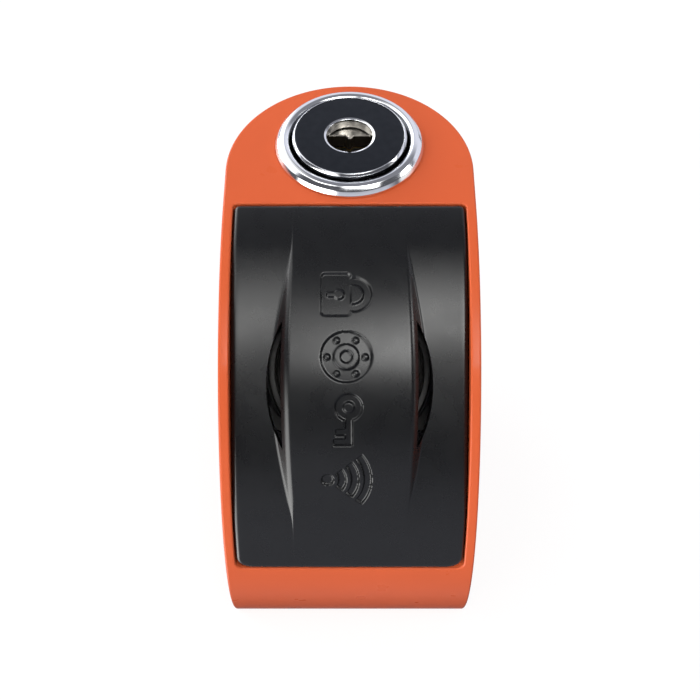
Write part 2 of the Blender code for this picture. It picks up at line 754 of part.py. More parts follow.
# (radius, x) of the cell, with its raised terminal at +X.
BATTERY_PROFILE = [
    (0, -13.3), (BATTERY_R, -13.3), (BATTERY_R, 12.6), (3.2, 12.6), (3.2, 13.3), (0, 13.3),
]
CONTACT_HALF = 4.0  # half the side of the square plate contact
WIRE_R = 0.45
# (x, y, z) paths of the battery's wires.
BATTERY_WIRES = {
    "red": [
        (14.45, -21.3, 19.6), (14.3, -21.6, 22.5), (13.2, -21.4, 25.5),
        (11.5, -20.4, 28.6), (10.6, -18.0, 31.2), (10.2, -16.3, 32.7),
    ],
    "black": [
        (-14.3, -21.3, 20.6), (-14.1, -21.8, 22.8), (-13.0, -21.4, 25.5),
        (-11.5, -20.4, 28.6), (-10.6, -18.0, 31.2), (-10.2, -16.3, 32.7),
    ],
}
# (y, z) in the siren's frame: the path round the lower edge of the deck and the board.
SIREN_WIRE_PATH = [
    (-14.9, 31.0), (-16.0, 30.6), (-16.6, 29.0), (-16.6, 27.0),
    (-15.9, 25.6), (-14.4, 25.3), (-12.8, 25.6),
]
SIREN_WIRE_X = {"red": 3.2, "black": -3.2}


def build_battery():
    cell = turned(BATTERY_PROFILE, 24, at((0, BATTERY_Y, BATTERY_Z), ALONG_X))
    solid("battery_cell", "battery_wrap", cell)
    spring_contact = helix(
        radii=(4.6, 2.2),
        z0=0.0,
        z1=1.35,
        turns=2.0,
        wire=0.2,
        steps=12,
        sides=5,
        frame=at((-14.8, BATTERY_Y, BATTERY_Z), ALONG_X),
    )
    solid("battery_spring_contact", "spring_steel", spring_contact)
    plate_contact = box(
        (13.5, 14.1),
        (BATTERY_Y - CONTACT_HALF, BATTERY_Y + CONTACT_HALF),
        (BATTERY_Z - CONTACT_HALF, BATTERY_Z + CONTACT_HALF),
    )
    solid("battery_plate_contact", "spring_steel", plate_contact)


def build_wires():
    for colour, path in BATTERY_WIRES.items():
        solid(f"battery_wire_{colour}", f"{colour}_wire", sweep(path, WIRE_R))
    for colour, x in SIREN_WIRE_X.items():
        path = [SIREN_AXIS @ Vector((x, y, z)) for y, z in SIREN_WIRE_PATH]
        solid(f"siren_wire_{colour}", f"{colour}_wire", sweep(path, WIRE_R))


# ---- switch and its plunger ---------------------------------------------------------------------
# (radius, y) of the plunger, with its collar at the switch and its tip towards the cylinder.
PLUNGER_PROFILE = [
    (0, 5.5), (1.7, 5.5), (1.7, 6.6), (0.85, 6.6), (0.85, 11.6), (0.5, 12.05), (0, 12.2),
]


def build_switch():
    solid("micro_switch", "chip_black", box((-3.0, 3.0), (1.6, 5.2), (59.0, 64.1)))
    plunger_body = joint("switch_plunger", 0, 9.0, SWITCH_Z)
    plunger = turned(PLUNGER_PROFILE, 12, at((0, 0, SWITCH_Z), ALONG_Y))
    solid("plunger_rod", "brass", plunger, plunger_body)


# ---- moving: lock cylinder ----------------------------------------------------------------------
FACE_Z = 72.6
SHELL_R, SHELL_Z = 10.2, 43.0  # radius and lower end
HEAD_R, HEAD_Z = 10.25, 66.0
FACE_POCKET_R, FACE_POCKET_Z = 9.3, 70.5
ROTOR_BORE_R, ROTOR_BORE_Z = 7.6, 51.2
# (radius, z)
SHELL_PROFILE = [
    (0, SHELL_Z),
    (SHELL_R, SHELL_Z),
    (SHELL_R, HEAD_Z),
    (HEAD_R, HEAD_Z),
    (HEAD_R, 71.3),
    (9.75, FACE_Z),
    (FACE_POCKET_R, FACE_Z),
    (FACE_POCKET_R, FACE_POCKET_Z),
    (ROTOR_BORE_R, FACE_POCKET_Z),
    (ROTOR_BORE_R, ROTOR_BORE_Z),
    (0, ROTOR_BORE_Z),
]
# (y, z) of the sloping groove in the shell's front, for the switch plunger.
RAMP_OUTLINE = [
    (PIN_Y - 8.35, 45.6), (PIN_Y - 10.03, 63.2), (PIN_Y - 12.0, 63.2), (PIN_Y - 12.0, 45.6),
]
KEYHOLE_R = 4.54
PLATE_R, PLATE_Z0, PLATE_Z1 = 9.15, 70.65, FACE_Z - 0.05
# (radius, z) of the face plate, with a chamfered keyhole.
PLATE_PROFILE = [
    (KEYHOLE_R, PLATE_Z0),
    (PLATE_R, PLATE_Z0),
    (PLATE_R, PLATE_Z1),
    (KEYHOLE_R + 0.25, PLATE_Z1),
    (KEYHOLE_R, FACE_Z - 0.3),
]
PIN_TIP_Z, PIN_TOP_Z, PIN_CHAMFER = 20.2, 45.8, 1.2
# (radius, z)
PIN_PROFILE = [
    (0, PIN_TIP_Z),
    (PIN_R - PIN_CHAMFER, PIN_TIP_Z),
    (PIN_R, PIN_TIP_Z + PIN_CHAMFER),
    (PIN_R, PIN_TOP_Z),
    (0, PIN_TOP_Z),
]
CROSS_PIN_Z = 44.5
LATCH_Z = 49.2  # height of the latch's axis
SNAP_R0, SNAP_R1 = 5.9, 7.35


def cross_rod(half_length, radius):
    """A rod along X through the pin's axis."""
    return rod(
        (-half_length, PIN_Y, CROSS_PIN_Z), (half_length, PIN_Y, CROSS_PIN_Z), radius, 10
    )


def build_shell(cylinder, cross_hole):
    shell = solid("cylinder_shell", "chrome", turned(SHELL_PROFILE), cylinder)
    pin_socket = turned(tube_profile(0, PIN_R + 0.15, 42.0, 46.0), 24)
    latch_channel = box((-7.8, 12.0), (PIN_Y - 3.1, PIN_Y + 3.1), (47.3, 51.6))
    stop_groove = box((-1.8, 1.8), (PIN_Y + 8.4, PIN_Y + 12), (46.2, 63.8))
    boolean(
        shell,
        "DIFFERENCE",
        helper("cut_pin_socket", pin_socket, cylinder),
        helper("cut_latch_channel", latch_channel, cylinder),
        helper("cut_stop_groove", stop_groove, cylinder),
        helper("cut_switch_ramp", slab(RAMP_OUTLINE, -1.4, 1.4), cylinder),
        cross_hole,
    )


def snap_ring():
    """An open retaining ring above the rotor's shoulder, with its gap towards the front."""
    outer, inner = [
        arc((0, PIN_Y), radius, start=290, sweep_angle=320, steps=24)
        for radius in (SNAP_R1, SNAP_R0)
    ]
    return plate(outer + inner[::-1], 68.55, 69.25)


def latch_spring():
    return helix(
        radii=(1.0, 1.0),
        z0=-7.6,
        z1=-4.3,
        turns=4.0,
        wire=0.2,
        steps=10,
        sides=5,
        frame=at((0, PIN_Y, LATCH_Z), ALONG_X),
    )


def build_cylinder():
    cylinder = joint("lock_cylinder", 0, PIN_Y, 45.0)
    cross_hole = helper("cut_cross_pin_hole", cross_rod(12, 0.95), cylinder)
    build_shell(cylinder, cross_hole)
    solid("face_plate", "dark_polished_steel", turned(PLATE_PROFILE), cylinder)
    locking_pin = solid("locking_pin", "hard_steel", turned(PIN_PROFILE, 28), cylinder)
    boolean(locking_pin, "DIFFERENCE", cross_hole)
    solid("cross_pin", "hard_steel", cross_rod(9.9, 0.8), cylinder)
    solid("snap_ring", "spring_steel", snap_ring(), cylinder)
    solid("latch_spring", "spring_steel", latch_spring(), cylinder)


# ---- moving: the plug that the key turns --------------------------------------------------------
ROTOR_R, ROTOR_Z = 7.3, 54.4
# (radius, z) of the rotor: a sleeve closed at the top, with a narrower neck.
ROTOR_PROFILE = [
    (6.6, ROTOR_Z), (ROTOR_R, ROTOR_Z), (ROTOR_R, 68.3), (5.5, 68.3),
    (5.5, 70.3), (0, 70.3), (0, 67.6), (6.6, 67.6),
]
DISC_COUNT = 7
DISC_R, DISC_T = 6.35, 1.2
SPACER_R0, SPACER_T = 4.4, 0.6
STACK_Z, STACK_GAP = ROTOR_Z + 0.05, 0.06
STUD_X, STUD_Y, STUD_R = 1.06, -1.06, 1.1  # the stud's place is from the pin's axis


def keyway(radius, steps):
    """Half-moon outline, its curve towards the front, with a tooth at the middle of its
    straight side."""
    back = PIN_Y + 2.3
    side = radius - 0.35
    curve = arc((0, PIN_Y + 0.4), radius, 180, 180, steps)
    tooth = [(0.95, back), (0.0, back - 1.15), (-0.95, back)]
    return curve + [(side, back)] + tooth + [(-side, back)]


def build_rotor(plug):
    rotor = solid("rotor_core", "brushed_steel", turned(ROTOR_PROFILE), plug)
    opening = plate(keyway(3.8, 12), 66.5, 71.5)
    boolean(rotor, "DIFFERENCE", helper("cut_rotor_keyway", opening, plug))


def build_disc_stack(plug):
    """Detainer discs from the bottom up, with a spacer ring between each two."""
    level = STACK_Z
    for number in range(1, DISC_COUNT + 1):
        disc = solid(
            f"detainer_disc_{number}",
            "brass" if number % 2 else "brushed_steel",
            turned(tube_profile(0, DISC_R, level, level + DISC_T), 24),
            plug,
        )
        opening = plate(keyway(3.9, 8), level - 0.5, level + DISC_T + 0.5)
        boolean(disc, "DIFFERENCE", helper(f"cut_disc_keyway_{number}", opening, plug))
        level += DISC_T + STACK_GAP
        if number < DISC_COUNT:
            spacer = turned(tube_profile(SPACER_R0, DISC_R, level, level + SPACER_T), 20)
            solid(f"disc_spacer_{number}", "brushed_steel", spacer, plug)
            level += SPACER_T + STACK_GAP


def build_tail_cam(plug):
    """Closes the rotor's tail and carries the off-centre stud that draws the latch back."""
    cam_disc = turned(tube_profile(0, 7.2, 51.7, 54.2), 24)
    tail_cam = solid("tail_cam", "hard_steel", cam_disc, plug)
    stud_y = PIN_Y + STUD_Y
    stud = rod((STUD_X, stud_y, 48.3), (STUD_X, stud_y, 52.5), STUD_R, 12)
    boolean(tail_cam, "UNION", helper("add_cam_stud", stud, plug))


def build_plug():
    plug = joint("plug", 0, PIN_Y, 60.0)
    build_rotor(plug)
    build_disc_stack(plug)
    build_tail_cam(plug)


# ---- moving: latch ------------------------------------------------------------------------------
LATCH_X0, LATCH_X1, LATCH_HALF_W = -5.4, 12.0, 2.8
LATCH_CHAMFER = 1.4
# (x, y) of the bolt, chamfered at its +X end.
LATCH_OUTLINE = [
    (LATCH_X0, PIN_Y - LATCH_HALF_W),
    (LATCH_X1 - LATCH_CHAMFER, PIN_Y - LATCH_HALF_W),
    (LATCH_X1, PIN_Y - LATCH_HALF_W + LATCH_CHAMFER),
    (LATCH_X1, PIN_Y + LATCH_HALF_W - LATCH_CHAMFER),
    (LATCH_X1 - LATCH_CHAMFER, PIN_Y + LATCH_HALF_W),
    (LATCH_X0, PIN_Y + LATCH_HALF_W),
]
STUD_NOTCH_HALF = STUD_R + 0.2


def build_latch():
    latch = joint("latch", 0, PIN_Y, LATCH_Z)
    bolt = solid("latch_bolt", "hard_steel", plate(LATCH_OUTLINE, 47.6, 50.9), latch)
    stud_notch = box(
        (STUD_X - STUD_NOTCH_HALF, STUD_X + STUD_NOTCH_HALF),
        (PIN_Y - 4.0, PIN_Y + 0.35),
        (46.0, 52.0),
    )
    spring_pocket = rod((-7.0, PIN_Y, LATCH_Z), (-1.9, PIN_Y, LATCH_Z), 1.35, 10)
    boolean(
        bolt,
        "DIFFERENCE",
        helper("cut_stud_notch", stud_notch, latch),
        helper("cut_spring_pocket", spring_pocket, latch),
    )


# ---- the whole lock -----------------------------------------------------------------------------
def build_lock():
    build_casting()
    build_cylinder_surround()
    build_front_cover()
    build_gasket()
    build_siren()
    board_holes = make_board_holes()
    build_chassis(board_holes)
    build_board(board_holes)
    build_board_parts()
    build_chassis_screws()
    build_battery()
    build_wires()
    build_switch()
    build_cylinder()
    build_plug()
    build_latch()


build_lock()
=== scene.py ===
"""Looks for the alarmed disc brake lock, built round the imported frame.

Shapes are worked out in millimetres in the part's frame. x runs across the lock, z up and y from
the front to the back. The front is rounded about a line along x, with the alarm cover and siren
set into it. The disc slot opens to the back, and the locking pin stands upright across it.
"""

import math

import bmesh
import bpy
import numpy as np
from mathutils import Matrix, Vector

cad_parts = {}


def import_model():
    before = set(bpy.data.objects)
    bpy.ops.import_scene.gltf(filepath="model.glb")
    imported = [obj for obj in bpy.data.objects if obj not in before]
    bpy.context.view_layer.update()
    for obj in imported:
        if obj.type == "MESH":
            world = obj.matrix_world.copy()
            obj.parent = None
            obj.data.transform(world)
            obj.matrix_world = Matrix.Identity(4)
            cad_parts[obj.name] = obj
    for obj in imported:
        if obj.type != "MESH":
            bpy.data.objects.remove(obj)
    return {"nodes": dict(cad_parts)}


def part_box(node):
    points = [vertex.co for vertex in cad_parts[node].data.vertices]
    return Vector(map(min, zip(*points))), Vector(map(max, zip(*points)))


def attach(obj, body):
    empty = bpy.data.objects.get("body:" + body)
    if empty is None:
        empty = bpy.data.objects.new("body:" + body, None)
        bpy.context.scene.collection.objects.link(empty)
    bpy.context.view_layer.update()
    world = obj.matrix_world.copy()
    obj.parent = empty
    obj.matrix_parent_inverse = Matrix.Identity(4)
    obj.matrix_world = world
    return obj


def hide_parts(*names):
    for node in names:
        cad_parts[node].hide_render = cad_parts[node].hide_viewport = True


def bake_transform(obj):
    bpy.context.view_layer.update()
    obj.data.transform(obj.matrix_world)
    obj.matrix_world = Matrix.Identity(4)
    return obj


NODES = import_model()["nodes"]
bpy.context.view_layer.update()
MM = 0.001


def span(node):
    """A CAD node's box in millimetres."""
    low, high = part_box(node)
    return low / MM, high / MM


# ---- shared sizes, read from the frame where a node gives them -----------------------------------
BODY_HIGH = span("body_casting")[1]
HALF_WIDTH = BODY_HIGH.x
TOP_Z = BODY_HIGH.z
REAR_CENTRE_Y = BODY_HIGH.y - HALF_WIDTH
SHELL_LOW, SHELL_HIGH = span("cylinder_shell")
PIN_Y = (SHELL_LOW.y + SHELL_HIGH.y) / 2
FACE_Z = SHELL_HIGH.z

# The front circle, seen from the side. Elevations are degrees up from its front point.
# A "run" is the distance along the circle from that point, in millimetres.
FRONT_R = 47.2
FRONT_Y, FRONT_Z = 8.6, 22.8

SLOT_LOW, SLOT_HIGH, SLOT_END_Y = 26.0, 34.0, -2.5  # the disc slot
STOP_PIN_Z = 62.0
PLUNGER_Z = 61.5
SCREW_X, SCREW_Z = 12.0, (SLOT_LOW + SLOT_HIGH) / 2  # the two screws in the slot's end wall
CROSS_PIN_Z = 44.5


def run_at(elevation):
    return math.radians(elevation) * FRONT_R


def elevation_at(run):
    return math.degrees(run / FRONT_R)


# The opening in the front.
OPEN_HALF_W = 20.22
OPEN_LOW, OPEN_HIGH = run_at(2.8), run_at(89.3)
FLOOR_R, FLOOR_CHORD = 43.7, 38.75

# The valleys scooped out on both sides of the cover's strap.
VALLEY_ELEVATION = 48.3


# ---- materials -----------------------------------------------------------------------------------
def finish(name, colour, metallic=0.0, rough=0.4, vary=0.06, vary_scale=90.0, rough_vary=0.05,
           rough_scale=160.0, bump=0.0, bump_scale=2500.0, brushed=None, coat=0.0,
           coat_rough=0.08, specular=0.5, tint=None):
    """A procedural finish whose colour and roughness vary with noise.

    vary is the share by which the colour swings; tint replaces the light end's colour. bump is the
    grain's height in millimetres, and brushed stretches the grain into lines."""
    mat = bpy.data.materials.new(name)
    mat.use_nodes = True
    tree = mat.node_tree
    shader = tree.nodes["Principled BSDF"]
    make, wire = tree.nodes.new, tree.links.new
    coord = make("ShaderNodeTexCoord").outputs["Object"]

    def noise_node(scale, detail, vector):
        noise = make("ShaderNodeTexNoise")
        noise.inputs["Scale"].default_value = scale
        noise.inputs["Detail"].default_value = detail
        wire(vector, noise.inputs["Vector"])
        return noise

    blotches = noise_node(vary_scale, 5.0, coord)
    blotches.inputs["Roughness"].default_value = 0.6
    ramp = make("ShaderNodeValToRGB")
    dark_end, light_end = ramp.color_ramp.elements
    dark_end.position, light_end.position = 0.3, 0.7
    dark_end.color = (*(max(0.0, c * (1 - vary)) for c in colour), 1)
    light_end.color = (*(min(1.0, c * (1 + vary)) for c in (tint or colour)), 1)
    wire(blotches.outputs["Fac"], ramp.inputs["Fac"])
    wire(ramp.outputs["Color"], shader.inputs["Base Color"])

    smudges = noise_node(rough_scale, 4.0, coord)
    level = make("ShaderNodeMapRange")
    level.inputs["From Min"].default_value = 0.3
    level.inputs["From Max"].default_value = 0.7
    level.inputs["To Min"].default_value = max(0.0, rough - rough_vary)
    level.inputs["To Max"].default_value = min(1.0, rough + rough_vary)
    wire(smudges.outputs["Fac"], level.inputs["Value"])
    wire(level.outputs["Result"], shader.inputs["Roughness"])

    shader.inputs["Metallic"].default_value = metallic
    shader.inputs["Specular IOR Level"].default_value = specular
    shader.inputs["Coat Weight"].default_value = coat
    shader.inputs["Coat Roughness"].default_value = coat_rough
    if bump:
        bumper = make("ShaderNodeBump")
        bumper.inputs["Strength"].default_value = 1.0
        bumper.inputs["Distance"].default_value = bump * MM
        vector, detail = coord, 3.0
        if brushed:
            mapping = make("ShaderNodeMapping")
            mapping.inputs["Scale"].default_value = brushed
            wire(coord, mapping.inputs["Vector"])
            vector, detail = mapping.outputs["Vector"], 2.0
        grain = noise_node(bump_scale, detail, vector)
        wire(grain.outputs["Fac"], bumper.inputs["Height"])
        wire(bumper.outputs["Normal"], shader.inputs["Normal"])
    mat.diffuse_color = (*colour, 1)
    return mat


ORANGE = finish(
    "orange_paint", (0.505, 0.088, 0.0300), rough=0.30, vary=0.025, vary_scale=60,
    rough_vary=0.03, rough_scale=220, bump=0.0012, bump_scale=900, coat=0.12, coat_rough=0.07,
    specular=0.06,
)
BARE = finish(
    "machined_bore", (0.46, 0.46, 0.47), metallic=1.0, rough=0.36, vary=0.08, rough_vary=0.08,
    bump=0.004, bump_scale=60, brushed=(1, 1, 60),
)
SATIN = finish(
    "black_satin", (0.0042, 0.0044, 0.0050), rough=0.28, vary=0.14, vary_scale=160,
    rough_vary=0.02, rough_scale=300, bump=0.0016, bump_scale=2600, specular=0.40,
)
CHROME = finish(
    "chrome", (0.86, 0.87, 0.89), metallic=1.0, rough=0.10, vary=0.02, vary_scale=200,
    rough_vary=0.03, rough_scale=500, bump=0.0006, bump_scale=700,
)
RIM = finish(
    "polished_rim", (0.82, 0.83, 0.85), metallic=1.0, rough=0.12, vary=0.04, vary_scale=300,
    rough_vary=0.04, rough_scale=500,
)
FACE = finish(
    "dark_polished_steel", (0.031, 0.034, 0.039), metallic=1.0, rough=0.13, vary=0.06,
    vary_scale=700, rough_vary=0.03, rough_scale=650, bump=0.0006, bump_scale=1800,
    tint=(0.035, 0.038, 0.043),
)
# Painted shade: a darker copy of the chrome for the head's side wall in the gap inside the bezel.
WALL = finish(
    "head_wall_painted_shade", (0.16, 0.165, 0.175), metallic=1.0, rough=0.16, vary=0.2, vary_scale=420,
    rough_vary=0.08, rough_scale=650,
)
NICKEL = finish(
    "nickel_silver", (0.40, 0.37, 0.32), metallic=1.0, rough=0.3, vary=0.06, vary_scale=300,
    rough_vary=0.05, rough_scale=400, bump=0.001, bump_scale=900,
)
# Painted shade: the keyway's walls are coloured dark for the shade down the hole.
KEYWAY_SHADE = finish(
    "keyway_painted_shade", (0.030, 0.024, 0.018), metallic=0.6, rough=0.38, vary=0.2, vary_scale=260,
    rough_vary=0.08, rough_scale=400, bump=0.003, bump_scale=500,
)
STEEL = finish(
    "ground_hard_steel", (0.50, 0.51, 0.53), metallic=1.0, rough=0.24, vary=0.07,
    vary_scale=160, rough_vary=0.07, rough_scale=400, bump=0.003, bump_scale=160,
    brushed=(1, 1, 14),
)
BRUSHED = finish(
    "brushed_steel", (0.55, 0.55, 0.54), metallic=1.0, rough=0.32, vary=0.08, rough_vary=0.08,
    rough_scale=600, bump=0.003, bump_scale=1500,
)
OXIDE = finish(
    "black_oxide", (0.016, 0.016, 0.018), metallic=0.8, rough=0.5, vary=0.15, rough_vary=0.06,
)
SPRING = finish(
    "spring_wire", (0.62, 0.62, 0.61), metallic=1.0, rough=0.22, vary=0.08, rough_vary=0.06,
    bump=0.002, bump_scale=1800,
)
BRASS = finish(
    "turned_brass", (0.72, 0.52, 0.23), metallic=1.0, rough=0.30, vary=0.1, rough_vary=0.08,
    bump=0.003, bump_scale=1500,
)
BRONZE = finish(
    "sintered_bronze", (0.52, 0.34, 0.17), metallic=1.0, rough=0.46, vary=0.2, vary_scale=900,
    rough_vary=0.1, bump=0.008, bump_scale=2600,
)
COPPER = finish(
    "enamelled_copper", (0.62, 0.24, 0.10), metallic=1.0, rough=0.28, vary=0.1,
    rough_vary=0.06, bump=0.02, bump_scale=120, brushed=(1, 1, 18), coat=0.5,
)
RUBBER = finish(
    "black_rubber", (0.014, 0.014, 0.014), rough=0.72, vary=0.2, vary_scale=400,
    rough_vary=0.08, bump=0.006, bump_scale=3000,
)
PLASTIC = finish(
    "black_moulded", (0.022, 0.021, 0.021), rough=0.5, vary=0.15, vary_scale=300,
    rough_vary=0.06, bump=0.006, bump_scale=2600,
)
# Black plastic, made darker and duller than the moulded plastic as painted shade where the can lies
# under the cover.
CAN = finish(
    "black_plastic_painted_shade", (0.005, 0.005, 0.0055), rough=0.6, vary=0.15, vary_scale=200,
    rough_vary=0.05, rough_scale=300, specular=0.12,
)
HORN = finish(
    "horn_moulded", (0.017, 0.0155, 0.0145), rough=0.42, specular=0.34, vary=0.15,
    vary_scale=400, rough_vary=0.05, bump=0.004, bump_scale=2600,
)
BOARD = finish(
    "board_green", (0.012, 0.13, 0.045), rough=0.35, vary=0.25, vary_scale=900,
    rough_vary=0.05, bump=0.01, bump_scale=900, coat=0.5,
)
CHIP = finish(
    "chip_black", (0.014, 0.014, 0.015), rough=0.42, vary=0.15, vary_scale=900,
    rough_vary=0.08, bump=0.004, bump_scale=3000,
)
WRAP = finish(
    "battery_wrap", (0.045, 0.10, 0.27), rough=0.3, vary=0.1, vary_scale=120, rough_vary=0.05,
    bump=0.004, bump_scale=500, coat=0.6,
)
RED = finish(
    "red_insulation", (0.50, 0.015, 0.012), rough=0.4, vary=0.1, vary_scale=500, bump=0.003,
    bump_scale=1500,
)
BLACK = finish(
    "black_insulation", (0.018, 0.018, 0.018), rough=0.4, vary=0.1, vary_scale=500, bump=0.003,
    bump_scale=1500,
)


# ---- objects and Booleans ------------------------------------------------------------------------
def shade(obj, sharp):
    obj.data.shade_smooth()
    obj.data.set_sharp_from_angle(angle=math.radians(sharp))


def place(shape, name, materials, sharp=32.0, weighted=True):
    """An object from a bmesh in millimetres. Its materials go in slots in the order given."""
    bmesh.ops.recalc_face_normals(shape, faces=shape.faces[:])
    for vert in shape.verts:
        vert.co *= MM
    mesh = bpy.data.meshes.new(name)
    shape.to_mesh(mesh)
    shape.free()
    obj = bpy.data.objects.new(name, mesh)
    bpy.context.scene.collection.objects.link(obj)
    for mat in materials:
        mesh.materials.append(mat)
    shade(obj, sharp)
    if weighted:
        mod = obj.modifiers.new("weighted_normals", "WEIGHTED_NORMAL")
        mod.weight = 60
        mod.keep_sharp = True
    return obj


def cutter(shape, name, *materials):
    """An object for carve() to use up. Its faces keep their own material."""
    return place(shape, name, materials, weighted=False)


def apply_modifier(obj, mod):
    """Applies one modifier and leaves the others in place."""
    others = [other for other in obj.modifiers if other != mod]
    for other in others:
        other.show_viewport = False
    bpy.context.view_layer.update()
    graph = bpy.context.evaluated_depsgraph_get()
    made = bpy.data.meshes.new_from_object(obj.evaluated_get(graph))
    for other in others:
        other.show_viewport = True
    obj.modifiers.remove(mod)
    obj.data = made
    made.name = obj.name


def carve(obj, *cutters, operation="DIFFERENCE"):
    """Applies exact Booleans now and removes the cutters."""
    for tool in cutters:
        mod = obj.modifiers.new("cut", "BOOLEAN")
        mod.operation = operation
        mod.solver = "EXACT"
        mod.material_mode = "TRANSFER"
        mod.object = tool
        apply_modifier(obj, mod)
        bpy.data.objects.remove(tool, do_unlink=True)


def tidy(obj, sharp=32.0):
    """Merges the tiny leftovers of a Boolean and shades again."""
    shape = bmesh.new()
    shape.from_mesh(obj.data)
    bmesh.ops.remove_doubles(shape, verts=shape.verts[:], dist=0.000002)
    bmesh.ops.dissolve_degenerate(shape, edges=shape.edges[:], dist=0.000002)
    shape.to_mesh(obj.data)
    shape.free()
    shade(obj, sharp)


def show(obj, body, node):
    """Hands a finished piece to the frame: parents it to its body and hides the CAD node it stands
    for.
    """
    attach(obj, body)
    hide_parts(node)


# ---- profiles and outlines -----------------------------------------------------------------------
def arc_points(centre_x, centre_y, radius, start, end, steps):
    angles = [math.radians(start + (end - start) * i / steps) for i in range(steps + 1)]
    return [
        (centre_x + radius * math.cos(angle), centre_y + radius * math.sin(angle))
        for angle in angles
    ]


def rounded(corners, steps=4):
    """Rounds a closed profile of (radius, height, rounding) corners. Without the third they stay
    sharp."""
    out = []
    for i, corner in enumerate(corners):
        rounding = corner[2] if len(corner) > 2 else 0
        spot = Vector(corner[:2])
        before = Vector(corners[i - 1][:2]) - spot
        after = Vector(corners[(i + 1) % len(corners)][:2]) - spot
        if rounding <= 0 or before.length < 1e-9 or after.length < 1e-9:
            out.append(tuple(spot))
            continue
        half = before.angle(after) / 2
        if half > math.radians(88) or half < math.radians(2):
            out.append(tuple(spot))
            continue
        reach = min(rounding / math.tan(half), before.length * 0.49, after.length * 0.49)
        rounding = reach * math.tan(half)
        start, end = spot + before.normalized() * reach, spot + after.normalized() * reach
        centre = spot + (before.normalized() + after.normalized()).normalized() * (
            rounding / math.sin(half)
        )
        first, last = start - centre, end - centre
        turn = first.angle(last)
        for k in range(steps + 1):
            share = k / steps
            arm = (
                first * math.sin((1 - share) * turn) + last * math.sin(share * turn)
            ) / math.sin(turn)
            out.append(tuple(centre + arm))
    return out


def disc_profile(radius, low, high, rounding, steps=3):
    return rounded(
        [(0, low), (radius, low, rounding), (radius, high, rounding), (0, high)], steps
    )


def washer_profile(inner, outer, low, high, rounding, steps):
    return rounded(
        [
            (inner, low, rounding),
            (outer, low, rounding),
            (outer, high, rounding),
            (inner, high, rounding),
        ],
        steps,
    )


# ---- solids --------------------------------------------------------------------------------------
# Each returns its bmesh. Those with "into" can add to one that is already there.
def at(x, y, z, direction=(0, 0, 1)):
    """A frame at a point, with its z along the direction."""
    turn = Vector(direction).to_track_quat("Z", "Y").to_matrix().to_4x4()
    return Matrix.Translation((x, y, z)) @ turn


PIN_AXIS = at(0, PIN_Y, 0)


def turned(profile, segments=128, axis=PIN_AXIS, slot_of=None, into=None):
    """A solid of revolution from a closed (radius, height) profile. slot_of(radius, height) gives
    a material slot."""
    shape = into or bmesh.new()
    rings = []
    for radius, height in profile:
        if radius < 1e-6:
            rings.append([shape.verts.new(axis @ Vector((0, 0, height)))])
            continue
        angles = [2 * math.pi * i / segments for i in range(segments)]
        rings.append(
            [
                shape.verts.new(
                    axis @ Vector((radius * math.cos(angle), radius * math.sin(angle), height))
                )
                for angle in angles
            ]
        )
    for k, ring in enumerate(rings):
        after = (k + 1) % len(rings)
        above = rings[after]
        slot = 0
        if slot_of:
            here, there = profile[k], profile[after]
            slot = slot_of((here[0] + there[0]) / 2, (here[1] + there[1]) / 2)
        if len(ring) == 1 and len(above) == 1:
            continue
        for i in range(segments):
            j = (i + 1) % segments
            if len(ring) == 1:
                face = shape.faces.new((ring[0], above[j], above[i]))
            elif len(above) == 1:
                face = shape.faces.new((ring[i], ring[j], above[0]))
            else:
                face = shape.faces.new((ring[i], ring[j], above[j], above[i]))
            face.material_index = slot
    return shape


def rod(start, end, radius, segments=32, chamfer=0.0, into=None):
    start, end = Vector(start), Vector(end)
    length = (end - start).length
    profile = [(0, 0), (radius, 0), (radius, length), (0, length)]
    if chamfer:
        profile = disc_profile(radius, 0, length, chamfer)
    return turned(profile, segments, at(*start, direction=end - start), into=into)


def box(low, high):
    shape = bmesh.new()
    verts = [
        shape.verts.new((x, y, z))
        for z in (low[2], high[2])
        for y in (low[1], high[1])
        for x in (low[0], high[0])
    ]
    for quad in (
        (0, 2, 3, 1), (4, 5, 7, 6), (0, 1, 5, 4), (2, 6, 7, 3), (0, 4, 6, 2), (1, 3, 7, 5),
    ):
        shape.faces.new([verts[i] for i in quad])
    return shape


def slab(outline, left_x, right_x):
    """A (y, z) outline drawn out along x."""
    shape = bmesh.new()
    left = [shape.verts.new((left_x, y, z)) for y, z in outline]
    right = [shape.verts.new((right_x, y, z)) for y, z in outline]
    shape.faces.new(left)
    shape.faces.new(right[::-1])
    for i in range(len(outline)):
        j = (i + 1) % len(outline)
        shape.faces.new((left[i], right[i], right[j], left[j]))
    return shape


def join_rings(shape, rings):
    """Joins each ring of vertices to the next with quads."""
    for ring, above in zip(rings, rings[1:]):
        for i in range(len(ring)):
            j = (i + 1) % len(ring)
            shape.faces.new((ring[i], ring[j], above[j], above[i]))


def join_grid(shape, grid):
    for row, above in zip(grid, grid[1:]):
        for j in range(len(row) - 1):
            shape.faces.new((row[j], row[j + 1], above[j + 1], above[j]))


def plate(outline, low, high, matrix=Matrix.Identity(4)):
    """An (x, y) outline drawn out along z."""
    shape = bmesh.new()
    rings = [
        [shape.verts.new(matrix @ Vector((x, y, z))) for x, y in outline] for z in (low, high)
    ]
    shape.faces.new(rings[0][::-1])
    shape.faces.new(rings[1])
    join_rings(shape, rings)
    return shape


def loft(shape, rings):
    join_rings(shape, rings)
    shape.faces.new(rings[0][::-1])
    shape.faces.new(rings[-1])
    return shape


